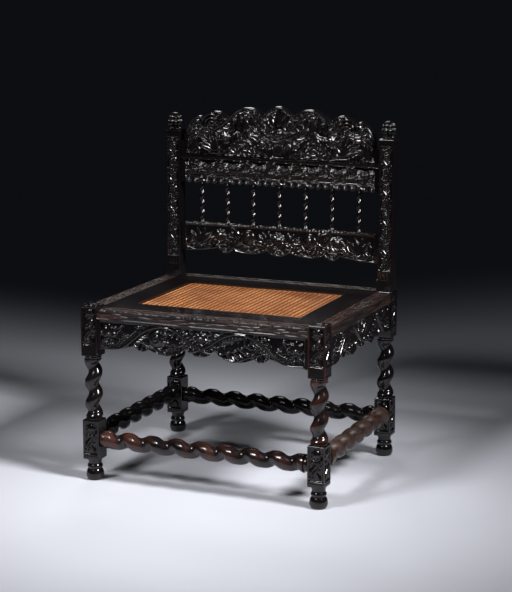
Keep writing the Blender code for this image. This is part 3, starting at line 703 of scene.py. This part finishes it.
def lower_rail_carving():
    """Flowers and leaves on the lower back rail, measured from its cusps."""
    height = LOWER_RAIL_TOP - LOWER_RAIL_BOTTOM
    art = Relief(-BACK_HALF, BACK_HALF, -LOWER_RAIL_LOBE - 1, height)
    art.rim(BACK_HALF, 170, lambda u: 2.2 - lower_rail_drop(u), 4.2, 5.6)
    art.pair(LOWER_RAIL_FORMS)
    art.flower(0, 27, 18, 10, 7.4)
    art.feathers(pitch=14.0, reach=24, height=5.2)
    for u in np.arange(-240, 241, 8):
        art.berry(u, height - 3.5, 2.8, 5.4)
    art.border(-BACK_HALF + 12, BACK_HALF - 12, -50, 100, CARVING_DEPTH - 1.5)
    return art.finish()


def stile_carving():
    """A leafy vine up the front of a back post, drawn lengthwise."""
    height = POST_TOP - SEAT
    art = Relief(0, height, -STILE / 2, STILE / 2)
    running_vine(art, 56, height - 24, 0, 9.0, 34, 4.4, leafy=True)
    art.feathers(pitch=8.5, reach=12, height=3.2)
    art.border(50, height - 17, -14, 14, POST_DEPTH)
    for across in (-8, 0, 8):
        art.ridge([(31, across), (48, across)], 3.0, POST_DEPTH + 0.9)
    return art.finish()


def block_carving(height, line, low, high):
    """Foliage on one face of a leg block, with a cut line near its foot."""
    half = BLOCK / 2
    art = Relief(-half, half, 0, height)
    art.flower(0, high - 14, 12, 7, 4.4)
    stem = ((-11, low + 2), (-9, low + 14), (2, low + 26), (9, low + 38), (4, low + 50))
    art.ridge(stem, 3.4, 4.6)
    art.petal(10, low + 3, 118, 24, 10, 4.2)
    art.petal(-9, low + 22, 62, 20, 9, 4.2)
    art.berry(-7, low + 42, 5.0, 4.6)
    art.feathers(pitch=8.5, reach=12, height=3.2)
    art.border(-half + 4, half - 4, low, high, POST_DEPTH)
    art.finish()
    art.height[np.abs(art.up - line) < 0.8] -= 1.4
    return art


def seat_band_carving(half):
    """Low foliage on the flat border of the seat, measured in from the outer edge."""
    art = Relief(-half, half, 0, SEAT_BORDER)
    running_vine(art, -half + 10, half - 10, 18, 7.6, 31, 3.8)
    art.feathers(pitch=5.5, reach=12, height=2.8)
    art.border(-half, half, 4.5, 31, BAND_DEPTH)
    art.finish()
    art.height[np.abs(art.up - 32.5) < 0.7] -= 1.2
    return art


def seat_edge_carving(half):
    """Long low leaves on the outer face of a seat rail, measured up from its foot."""
    art = Relief(-half, half, 0, SEAT_RAIL_THICKNESS)
    chance = np.random.default_rng(81)
    for u in np.arange(-half + 6, half - 24, 9.5):
        slant = chance.uniform(-6, 10)
        art.petal(u, chance.uniform(6, 15), slant, chance.uniform(20, 46), 5.0, chance.uniform(0.8, 2.0))
    for u in np.arange(-half + 4, half - 8, 8.6):
        slant = chance.uniform(-6, 6)
        length = chance.uniform(6, 18)
        art.petal(u, SEAT_RAIL_THICKNESS - 3.2, slant, length, 3.4, chance.uniform(0.8, 2.4))
    art.ridge([(-half, 2.2), (half, 2.2)], 3.4, 2.0)
    return art.finish()


def lifted(art, ground, low):
    """How far a carving lifts a face, from its flush height and the level it is drawn from."""
    return lambda u, v: art.at(u, v - low) - ground


def upright_lift(art, ground, low):
    """The same for a carving drawn lengthwise and set upright."""
    return lambda u, v: art.at(v - low, u) - ground


def chamfered(low):
    """How far a plain face drops back along its lower edge."""
    return lambda u, v: -np.clip(2 - (v - low), 0, None)


def block_levels(low, high):
    """Levels up a block and its half width there, with a chamfer at both ends."""
    levels = steps(low, high)
    end = np.minimum(levels - low, high - levels)
    return levels, BLOCK / 2 - np.clip(1.0 - end, 0, None)


def stile_levels():
    """Levels up a back post and its half width there: plinth, shaft and cap."""
    levels = steps(SEAT, POST_TOP)
    up = levels - SEAT
    down = POST_TOP - levels
    half = np.full_like(levels, STILE / 2)
    for over in (PLINTH_HEIGHT - up, CAP_HEIGHT - down):
        half += (PLINTH - STILE) / 2 * np.clip(over / 0.3, 0, 1)
    half -= np.clip(1.2 - down, 0, None)
    return levels, half


def crown(shell, x, y, level, half):
    """A low carved button on the top of a front leg."""
    art = Relief(-half, half, -half, half)
    art.flower(0, 0, 0.62 * half, 8, 3.4)
    for u in (-1, 1):
        for v in (-1, 1):
            art.berry(0.68 * half * u, 0.68 * half * v, 0.27 * half, 3.4)
    art.finish()
    side = np.linspace(-1, 1, 24, endpoint=False)
    loop = np.concatenate([joined(side, -1), joined(1, side), joined(-side, 1), joined(-1, -side)])
    rings = []
    for size, drop in [(1.0, 4.0), (1.0, 0.6)] + [(s, 0.0) for s in np.linspace(0.96, 0.02, 20)]:
        u, v = (size * half * loop).T
        rings.append(joined(x + u, y + v, level - drop + art.at(u, v) * (drop == 0)))
    shell.tube(np.stack(rings))


def outer_faces(carving, right, front=True):
    """Carvings of a block's faces from the front round: the outer and maybe the front one."""
    return carving if front else None, carving if right else None, None, None if right else carving


def make_legs(woods):
    """Four legs with turned feet, carved blocks and spirals; the back two carry carved stiles."""
    upper_height = SEAT - UPPER_BLOCK_BOTTOM
    lower_height = LOWER_BLOCK_TOP - FOOT_HEIGHT
    upper_art = block_carving(upper_height + LEG_RISE, line=6, low=26, high=upper_height + 2)
    lower_art = block_carving(lower_height, line=8, low=13, high=lower_height - 6)
    upper = lifted(upper_art, POST_DEPTH, UPPER_BLOCK_BOTTOM)
    lower = lifted(lower_art, POST_DEPTH, FOOT_HEIGHT)
    stile = upright_lift(stile_carving(), POST_DEPTH, SEAT)
    twist = spiral(LOWER_BLOCK_TOP - 0.5, UPPER_BLOCK_BOTTOM + 0.5, radius=20.4, depth=9.0, pitch=49.7,
                   fade=12, first_turn=-53, collar=7, power=1.1)
    for x_sign, hand in ((-1, "left"), (1, "right")):
        for y_sign, name in ((-1, "front_leg_"), (1, "back_post_")):
            x = x_sign * HALF_X
            y = y_sign * HALF_Y
            right = x_sign > 0
            front = y_sign < 0
            top = SEAT + LEG_RISE - CROWN_RISE if front else SEAT
            shell = Shell()
            turned(shell, x, y, 0, FOOT)
            square_post(shell, x, y, *block_levels(FOOT_HEIGHT, LOWER_BLOCK_TOP), outer_faces(lower, right))
            shell.tube(twist + np.array((x, y, 0.0)))
            square_post(shell, x, y, *block_levels(UPPER_BLOCK_BOTTOM, top), outer_faces(upper, right, front))
            if front:
                crown(shell, x, y, top, BLOCK / 2 - 1.6)
            else:
                square_post(shell, x, y, *stile_levels(), (stile, None, None, None))
            add_piece(name + hand + "_carved", shell, woods[name + hand], "ebony", name + hand)


def make_finials(wood):
    """Squat gadrooned buds of two tiers on the back posts."""
    profile = [(up * FINIAL_HEIGHT, wide * FINIAL_DIAMETER / 2) for up, wide in FINIAL]
    for x_sign, hand in ((-1, "left"), (1, "right")):
        shell = Shell()
        turned(shell, x_sign * HALF_X, HALF_Y, POST_TOP + FIT, profile, facets=90, flutes=9, depth=0.34)
        add_piece("finial_" + hand + "_carved", shell, wood, "ebony", "finial_" + hand)


def make_spindles(wood):
    """Thin spiral spindles in the back."""
    rings = spiral(LOWER_RAIL_TOP - 1, UPPER_RAIL_BOTTOM + 3, SPINDLE_DIAMETER / 2, depth=3.5, pitch=24,
                   fade=8, facets=28, step=1.0)
    for i in range(SPINDLE_COUNT):
        shell = Shell()
        shell.tube(rings + np.array(((i - (SPINDLE_COUNT - 1) / 2) * SPINDLE_PITCH, HALF_Y, 0.0)))
        add_piece(f"spindle_{i + 1}_turned", shell, wood, "ebony", f"spindle_{i + 1}")


def make_aprons(wood):
    """Lobed and carved boards under the seat, and a plain one at the back."""
    top = SEAT - SEAT_RAIL_THICKNESS - FIT
    face = APRON_SETBACK - BLOCK / 2
    for side, half in round_sides():
        if side == "back":
            edge = top - BACK_APRON_HEIGHT
            lift = chamfered(edge)
        else:
            edge = apron_edge(half, top)
            lift = lifted(apron_carving(half, edge), CARVING_DEPTH, APRON_DATUM)
        shell = Shell()
        carved_board(shell, half, edge, top, face, face + APRON_THICKNESS, lift)
        node = "apron_" + side
        add_piece(node + "_carved", shell, wood, "ebony", node, side=side, sharp=CARVED_SHARP)


def make_back(wood):
    """Crest with its plain ends, upper rail and lower rail of the back."""
    rear = BACK_RAIL_THICKNESS / 2
    foot = UPPER_RAIL_TOP + FIT
    end_half = (BACK_HALF - CREST_HALF + CREST_END_OVERLAP) / 2
    crest, upper, lower = Shell(), Shell(), Shell()
    carved_board(crest, CREST_HALF, foot, lambda u: foot + crest_level(u), -rear, rear,
                 lifted(crest_carving(), CARVING_DEPTH, foot))
    for hand in (-1, 1):
        carved_board(crest, end_half, foot, foot + CREST_END_HEIGHT, CREST_END_SETBACK - rear, rear,
                     middle=hand * (BACK_HALF - end_half))
    carved_board(upper, BACK_HALF, fringe_level, UPPER_RAIL_TOP, -rear, rear,
                 lifted(frieze_carving(), CARVING_DEPTH, UPPER_RAIL_BOTTOM))
    carved_board(lower, BACK_HALF, lambda u: LOWER_RAIL_BOTTOM - lower_rail_drop(u), LOWER_RAIL_TOP, -rear,
                 rear, lifted(lower_rail_carving(), CARVING_DEPTH, LOWER_RAIL_BOTTOM))
    add_piece("crest_carved", crest, wood, "ebony", "crest_rail", side="panel", sharp=CARVED_SHARP)
    add_piece("upper_rail_carved", upper, wood, "ebony", "upper_back_rail", side="panel")
    add_piece("lower_rail_carved", lower, wood, "ebony", "lower_back_rail", side="panel", sharp=CARVED_SHARP)


def make_stretchers(woods):
    """Spiral stretchers with plain round ends, each in the material of its side: black with little reflection
    at the back and left as painted shade, and paler at the right, partly as painted light.
    """
    for side, half in round_sides():
        along_x = side in ("front", "back")
        height = FRONT_STRETCHER_HEIGHT if along_x else SIDE_STRETCHER_HEIGHT
        radius = FRONT_STRETCHER_RADIUS if along_x else SIDE_STRETCHER_RADIUS
        plain = half - STRETCHER_END
        twist = spiral(-plain, plain, radius, radius - STRETCHER_CORE_RADIUS, pitch=60.0, fade=20,
                       first_turn=107)
        stations = np.array((-half, -half + 1, -plain - 2, -plain - 1))[:, None]
        radii = np.array((16.6, 17.5, 17.5, 17.0))[:, None]
        end = rings_of(radii * np.ones(TURNING_FACETS), stations)
        rings = np.concatenate([end, twist, end[::-1] * np.array((1, 1, -1))])
        shell = Shell()
        shell.tube(rings[..., [2, 0, 1]] + np.array((0.0, 0.0, height)))
        node = "stretcher_" + side
        add_piece(node + "_turned", shell, woods[side], "worn_ebony", node, side=side)


def make_seat_rails(wood_along_x, wood_along_y):
    """The outer part of each seat rail, carved on its edge and on the border above."""
    foot = SEAT - SEAT_RAIL_THICKNESS
    setback = 2.6
    most_out = 0.3
    most_up = 0.6
    arris_down = 0.8
    arris_in = 2.4
    rise = np.linspace(0, SEAT_RAIL_THICKNESS - arris_down, 30)[:, None]
    inward = np.linspace(arris_in, SEAT_BORDER, 34)[:, None]
    for side, half in round_sides():
        wood = wood_along_x if side in ("front", "back") else wood_along_y
        u = steps(-half, half)
        face_in = np.maximum(setback - seat_edge_carving(half).at(u, rise), -most_out)
        top_up = np.minimum(SEAT - BAND_DEPTH + seat_band_carving(half).at(u, inward), SEAT + most_up)
        face = joined(u, face_in - BLOCK / 2, foot + rise)
        top = joined(u, inward - BLOCK / 2, top_up)
        inner_foot = joined(u, SEAT_BORDER - BLOCK / 2, foot)[None]
        shell = Shell()
        shell.bar(np.concatenate([face, top, inner_foot]))
        node = "seat_rail_" + side
        add_piece(node + "_carved", shell, wood, "ebony", node, side=side, sharp=CARVED_SHARP)


def add_inner_slab(side, wood):
    """The plain flat of a seat rail inside its carved border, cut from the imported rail."""
    turn, _, out = SIDES[side]
    cos, sin = direction(turn)
    inward = np.array((-sin, cos, 0.0))
    cut = -inward * (out + BLOCK / 2 - SEAT_BORDER - 0.2) * MM
    slab = bmesh.new()
    slab.from_mesh(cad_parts["seat_rail_" + side].data)
    bmesh.ops.remove_doubles(slab, verts=slab.verts, dist=1e-6)
    bmesh.ops.bisect_plane(slab, geom=slab.verts[:] + slab.edges[:] + slab.faces[:], plane_co=cut,
                           plane_no=inward, clear_inner=True)
    bmesh.ops.holes_fill(slab, edges=[edge for edge in slab.edges if edge.is_boundary], sides=0)
    mesh = bpy.data.meshes.new("seat_flat_" + side)
    slab.to_mesh(mesh)
    slab.free()
    mesh.materials.clear()
    put("seat_flat_" + side, mesh, wood, "ebony")


def strand(shell, path, width, thickness):
    """A flat strip of cane along a path, crowned on top."""
    run = np.gradient(path, axis=0)
    aside = joined(-run[:, 1], run[:, 0], 0.0)
    aside /= np.linalg.norm(aside, axis=1, keepdims=True)
    up = np.array((0.0, 0.0, thickness))
    ring = (path + 0.28 * width * aside + up, path - 0.28 * width * aside + up,
            path - 0.5 * width * aside, path + 0.5 * width * aside)
    shell.tube(np.stack(ring, axis=1))


def make_cane(cane):
    """Six-way woven cane: two diagonals, pairs both ways, and a binder round the edge."""
    shell = Shell()
    # Widths and thicknesses of the strands
    diagonal = (2.3, 0.7)
    crosswise = (2.2, 0.7)
    lengthwise = (2.2, 0.8)
    wrapping = (2.8, 0.5)
    left, right = -CANE_HALF_X + CANE_INSET, CANE_HALF_X - CANE_INSET
    low, high = -CANE_HALF_Y + CANE_INSET, CANE_HALF_Y - CANE_INSET
    last_x = CANE_COLUMNS - 1
    last_y = CANE_ROWS - 1
    pitch_x = (right - left) / last_x
    pitch_y = (high - low) / last_y
    level = SEAT - CANE_DROP - 2.0
    for slant in (-1, 1):
        for shift in np.arange(0.5 - last_x, last_y):
            first = max(0.0, -shift)
            last = min(last_x, last_y - shift)
            if last - first < 0.9:
                continue
            i = np.linspace(first, last, int(4 * (last - first)) + 2)
            j = i + shift if slant > 0 else last_y - i - shift
            wave = level + 0.6 + 0.5 * (1 + slant * np.cos(math.pi * i))
            strand(shell, joined(left + pitch_x * i, low + pitch_y * j, wave), *diagonal)
    apart = 1.5
    beat_x = np.linspace(0, last_x, 6 * last_x + 1)
    beat_y = np.linspace(0, last_y, 6 * last_y + 1)
    for side in (-1, 1):
        wave_x = level + 0.5 * (1 - side * np.cos(2 * math.pi * beat_x))
        for j in range(CANE_ROWS):
            y = low + pitch_y * j + side * apart
            strand(shell, joined(left + pitch_x * beat_x, y, wave_x), *crosswise)
        for i in range(CANE_COLUMNS):
            wave_y = level + 1.3 + 0.3 * (1 + side * (-1) ** i * np.cos(math.pi * beat_y))
            x = left + pitch_x * i + side * apart
            strand(shell, joined(x, low + pitch_y * beat_y, wave_y), *lengthwise)
    width = CANE_INSET - 0.6
    sweep = np.linspace(-1, 1, 7)[:, None]
    arch = np.array((0.0, 0.0, 1.2)) * (np.sqrt(1 - (0.98 * sweep) ** 2) - 0.2)
    corners = np.array(((left, low), (right, low), (right, high), (left, high)))
    for start, end in zip(corners, np.roll(corners, -1, axis=0)):
        length = np.linalg.norm(end - start)
        run = np.append((end - start) / length, 0.0)
        aside = np.array((-run[1], run[0], 0.0))
        base = np.append(start, level + 1.2)
        count = round(length / CANE_HOLE_PITCH)
        along = np.linspace(-width / 2, length + width / 2, 4 * count)[:, None]
        strand(shell, base + run * along, width, 0.8)
        for k in range(count):
            middle = base + run * length * (k + 0.5) / count
            strand(shell, middle + aside * sweep * 0.62 * width + arch, *wrapping)
    add_piece("cane_woven", shell, cane, "cane", "cane_panel", sharp=CANE_SHARP)


class Nodes:
    """A short way to write a material's nodes and links."""

    def __init__(self, name):
        self.material = bpy.data.materials.new(name)
        self.material.use_nodes = True
        self.tree = self.material.node_tree
        self.shader = self.tree.nodes["Principled BSDF"]
        self.place = self.add("TexCoord").outputs["Object"]

    def add(self, kind, inputs=None, **settings):
        """A node with its settings, its inputs set to values or linked."""
        node = self.tree.nodes.new("ShaderNode" + kind)
        for key, value in settings.items():
            setattr(node, key, value)
        for key, value in (inputs or {}).items():
            self.set(node, key, value)
        return node

    def set(self, node, key, value):
        """Give one input a value or a link."""
        if isinstance(value, bpy.types.NodeSocket):
            self.tree.links.new(value, node.inputs[key])
        else:
            node.inputs[key].default_value = value

    def stretched(self, scale):
        """Places on the piece, scaled by axis."""
        return self.add("Mapping", {"Vector": self.place, "Scale": scale}).outputs["Vector"]

    def noise(self, place, scale, detail, distortion=0.0):
        """A noise between 0 and 1."""
        inputs = {"Vector": place, "Scale": scale, "Detail": detail, "Distortion": distortion}
        return self.add("TexNoise", inputs).outputs["Fac"]

    def span(self, value, low, high, to_low=0.0, to_high=1.0):
        """A value moved from one range to another and held there."""
        inputs = {"Value": value, "From Min": low, "From Max": high, "To Min": to_low, "To Max": to_high}
        return self.add("MapRange", inputs).outputs["Result"]

    def combined(self, operation, first, second):
        """One value of two."""
        return self.add("Math", {0: first, 1: second}, operation=operation).outputs[0]

    def mix(self, share, first, second):
        """One colour passing into another."""
        node = self.add("Mix", data_type="RGBA")
        for key, value in ((0, share), (6, first), (7, second)):
            self.set(node, key, value)
        return node.outputs[2]

    def finish(self, color, roughness, bump, depth):
        """Join colour, roughness and bump to the shader."""
        self.set(self.shader, "Base Color", color)
        self.set(self.shader, "Roughness", roughness)
        node = self.add("Bump", {"Height": bump, "Strength": 0.5, "Distance": depth})
        self.set(self.shader, "Normal", node.outputs["Normal"])
        return self.material


def turning_wear_and_light(nodes, along, point, reach):
    """Wear on the back of a spiral between two stations and on the corners of its blocks; on the right
    stretcher the same mask also places painted light.
    """
    across = [1.0, 1.0, 1.0]
    across[along] = 0.0
    flat = nodes.add("VectorMath", {0: nodes.place, 1: across}, operation="MULTIPLY").outputs[0]
    middle = [n * keep * MM for n, keep in zip(point, across)]
    radius = nodes.add("VectorMath", {0: flat, 1: middle}, operation="DISTANCE").outputs["Value"]
    station = nodes.add("SeparateXYZ", {"Vector": nodes.place}).outputs[along]
    low, high = reach
    after_low = nodes.span(station, low * MM, (low + WEAR_FADE) * MM)
    before_high = nodes.span(station, (high - WEAR_FADE) * MM, high * MM, 1.0, 0.0)
    inside = nodes.combined("MULTIPLY", after_low, before_high)
    worn = [nodes.span(radius, near * MM, far * MM) for near, far in (WORN_SPIRAL, WORN_CORNER)]
    return nodes.combined("MAXIMUM", nodes.combined("MULTIPLY", worn[0], inside), worn[1])


def wood_material(name, along, brown_share, polish=EVEN, gloss=0.5, ridge_from=None, turning=None,
                  dark=BLACK, brown=BROWN, worn=WORN):
    """Ebony streaked along one axis, with a worn colour on its ridges or as a turning if asked; on the seat
    rails and the right stretcher that colour is partly painted light.
    """
    nodes = Nodes(name)
    stretch = [90.0, 90.0, 90.0]
    stretch[along] = 5.0
    grain_place = nodes.stretched(stretch)
    grain = nodes.noise(grain_place, scale=2.0, detail=6.0, distortion=0.4)
    pores = nodes.noise(grain_place, scale=14.0, detail=3.0)
    patches = nodes.noise(nodes.place, scale=14.0, detail=3.0)
    color = nodes.mix(nodes.span(grain, 0.46, 0.74, 0.0, brown_share), dark, brown)
    ridge = None
    if ridge_from:
        ridge = nodes.span(nodes.add("NewGeometry").outputs["Pointiness"], ridge_from, ridge_from + 0.08)
    if turning:
        ridge = turning_wear_and_light(nodes, along, *turning)
    if ridge:
        wear_and_painted_light = nodes.combined("MULTIPLY", ridge, nodes.span(patches, 0.40, 0.66))
        color = nodes.mix(wear_and_painted_light, color, worn)
    roughness = nodes.span(patches, 0.3, 0.7, *polish)
    nodes.set(nodes.shader, "Specular IOR Level", gloss)
    return nodes.finish(color, roughness, bump=pores, depth=0.00006)


def cane_material():
    """Orange-tan cane in streaks and patches, with painted shade on the strands that lie deep in the weave.
    """
    nodes = Nodes("cane")
    patches = nodes.noise(nodes.place, scale=16.0, detail=4.0)
    streaks = nodes.noise(nodes.stretched((150.0, 5.0, 5.0)), scale=1.0, detail=2.0)
    fibres = nodes.noise(nodes.place, scale=900.0, detail=2.0)
    color = nodes.mix(nodes.span(patches, 0.36, 0.66), (0.86, 0.34, 0.105, 1), (0.46, 0.15, 0.043, 1))
    color = nodes.mix(nodes.span(streaks, 0.52, 0.72, 0.0, 0.7), color, (0.29, 0.083, 0.024, 1))
    # Painted shade: strands lower in the weave are darkened nearly to black by their height
    height = nodes.add("SeparateXYZ", {"Vector": nodes.place}).outputs["Z"]
    top = (SEAT - CANE_DROP) * MM
    painted_weave_shade = nodes.span(height, top - 0.0005, top + 0.0009, 0.96, 0.0)
    color = nodes.mix(painted_weave_shade, color, (0.035, 0.010, 0.004, 1))
    roughness = nodes.span(fibres, 0.3, 0.7, 0.34, 0.52)
    return nodes.finish(color, roughness, bump=fibres, depth=0.0003)


def floor_material():
    """Plain pale studio floor with the faintest mottle."""
    nodes = Nodes("floor")
    mottle = nodes.noise(nodes.place, scale=3.0, detail=4.0)
    color = nodes.mix(mottle, (0.55, 0.56, 0.62, 1), (0.60, 0.61, 0.67, 1))
    return nodes.finish(color, roughness=0.6, bump=mottle, depth=0.0002)


def add_area_light(name, azimuth, elevation, distance, size, watts, spread, target):
    """A soft square lamp aimed at a point, its light kept to a cone."""
    lamp = bpy.data.lights.new(name, "AREA")
    lamp.size = size
    lamp.energy = watts
    lamp.spread = math.radians(spread)
    light = new_object(name, lamp)
    turn = math.radians(azimuth)
    rise = math.radians(elevation)
    out = np.array((math.cos(rise) * math.cos(turn), math.cos(rise) * math.sin(turn), math.sin(rise)))
    light.location = np.asarray(target) + distance * out
    light.rotation_euler = (math.pi / 2 - rise, 0, turn + math.pi / 2)


def make_stage():
    """Floor, lamps, dim surroundings and the camera."""
    mesh = bpy.data.meshes.new("floor")
    reach = 40.0
    corners = [(-reach, -reach, 0), (reach, -reach, 0), (reach, reach, 0), (-reach, reach, 0)]
    mesh.from_pydata(corners, [], [(0, 1, 2, 3)])
    mesh.materials.append(floor_material())
    floor = new_object("floor", mesh)
    for name, values in LAMPS.items():
        add_area_light(name, *values)
    world = bpy.data.worlds.new("studio")
    world.use_nodes = True
    background = world.node_tree.nodes["Background"]
    background.inputs["Color"].default_value = (0.8, 0.85, 1.0, 1)
    background.inputs["Strength"].default_value = 0.008
    bpy.context.scene.world = world
    lens = bpy.data.cameras.new("camera")
    lens.sensor_fit = "VERTICAL"
    lens.sensor_height = 36.0
    lens.lens = FOCAL_LENGTH
    lens.clip_end = 200.0
    camera = new_object("camera", lens)
    camera.location = CAMERA_PLACE
    camera.rotation_euler = (math.pi / 2 - CAMERA_DOWN, 0, CAMERA_TURN)
    bpy.context.scene.camera = camera
    bpy.context.scene.view_settings.view_transform = "Standard"


legs = wood_material("ebony_legs", UPRIGHT, 0.6, FINE, 0.4, ridge_from=0.56)
rubbed = wood_material("ebony_rubbed", UPRIGHT, 0.6, FINE, 0.45,
                       turning=((HALF_X, -HALF_Y, 0), (LOWER_BLOCK_TOP, UPPER_BLOCK_BOTTOM)))
posts = wood_material("ebony_posts", UPRIGHT, 0.3, FINE, 0.6)
boards = wood_material("ebony_boards", ALONG_X, 0.3, FINE, 1.0)
aprons = wood_material("ebony_aprons", ALONG_X, 0.3, FINE, 0.6)
# Seat rails: the tan on their carved ridges is partly wear and partly painted highlight
seat_x = wood_material("ebony_seat_x", ALONG_X, 0.8, DULL, 0.4, ridge_from=0.55, brown=RUBBED, worn=TAN)
seat_y = wood_material("ebony_seat_y", ALONG_Y, 0.8, DULL, 0.4, ridge_from=0.53, brown=RUBBED, worn=TAN)
flat_x = wood_material("ebony_flat_x", ALONG_X, 0.6)
flat_y = wood_material("ebony_flat_y", ALONG_Y, 0.6)
worn_x = wood_material("ebony_worn_x", ALONG_X, 0.9, HANDLED, 0.45,
                       turning=((0, -HALF_Y, FRONT_STRETCHER_HEIGHT), (-HALF_X, HALF_X)))
# Painted shade: black copies of the ebony, without brown and with little reflection, for the stretchers at
# the back and left
shaded_x = wood_material("ebony_dark_x", ALONG_X, 0.3, gloss=0.2)
shaded_y = wood_material("ebony_dark_y", ALONG_Y, 0.3, gloss=0.2)
# Right stretcher: a paler copy of the ebony with lighter bulges, partly wear and partly painted light
lit_pale_y = wood_material("ebony_pale_y", ALONG_Y, 0.9, DULL, 0.4, dark=BROWN, brown=RUBBED, worn=LIT_AND_FADED,
                       turning=((HALF_X, 0, SIDE_STRETCHER_HEIGHT), (-HALF_Y, HALF_Y)))
make_legs({"front_leg_left": legs, "front_leg_right": rubbed,
           "back_post_left": posts, "back_post_right": posts})
make_finials(posts)
make_spindles(posts)
make_aprons(aprons)
make_back(boards)
make_seat_rails(seat_x, seat_y)
for name in ("front", "back"):
    add_inner_slab(name, flat_x)
for name in ("left", "right"):
    add_inner_slab(name, flat_y)
make_stretchers({"front": worn_x, "right": lit_pale_y, "back": shaded_x, "left": shaded_y})
make_cane(cane_material())
for name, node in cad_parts.items():
    if "_peg_" in name:
        for slot in node.material_slots:
            slot.material = posts
make_stage()
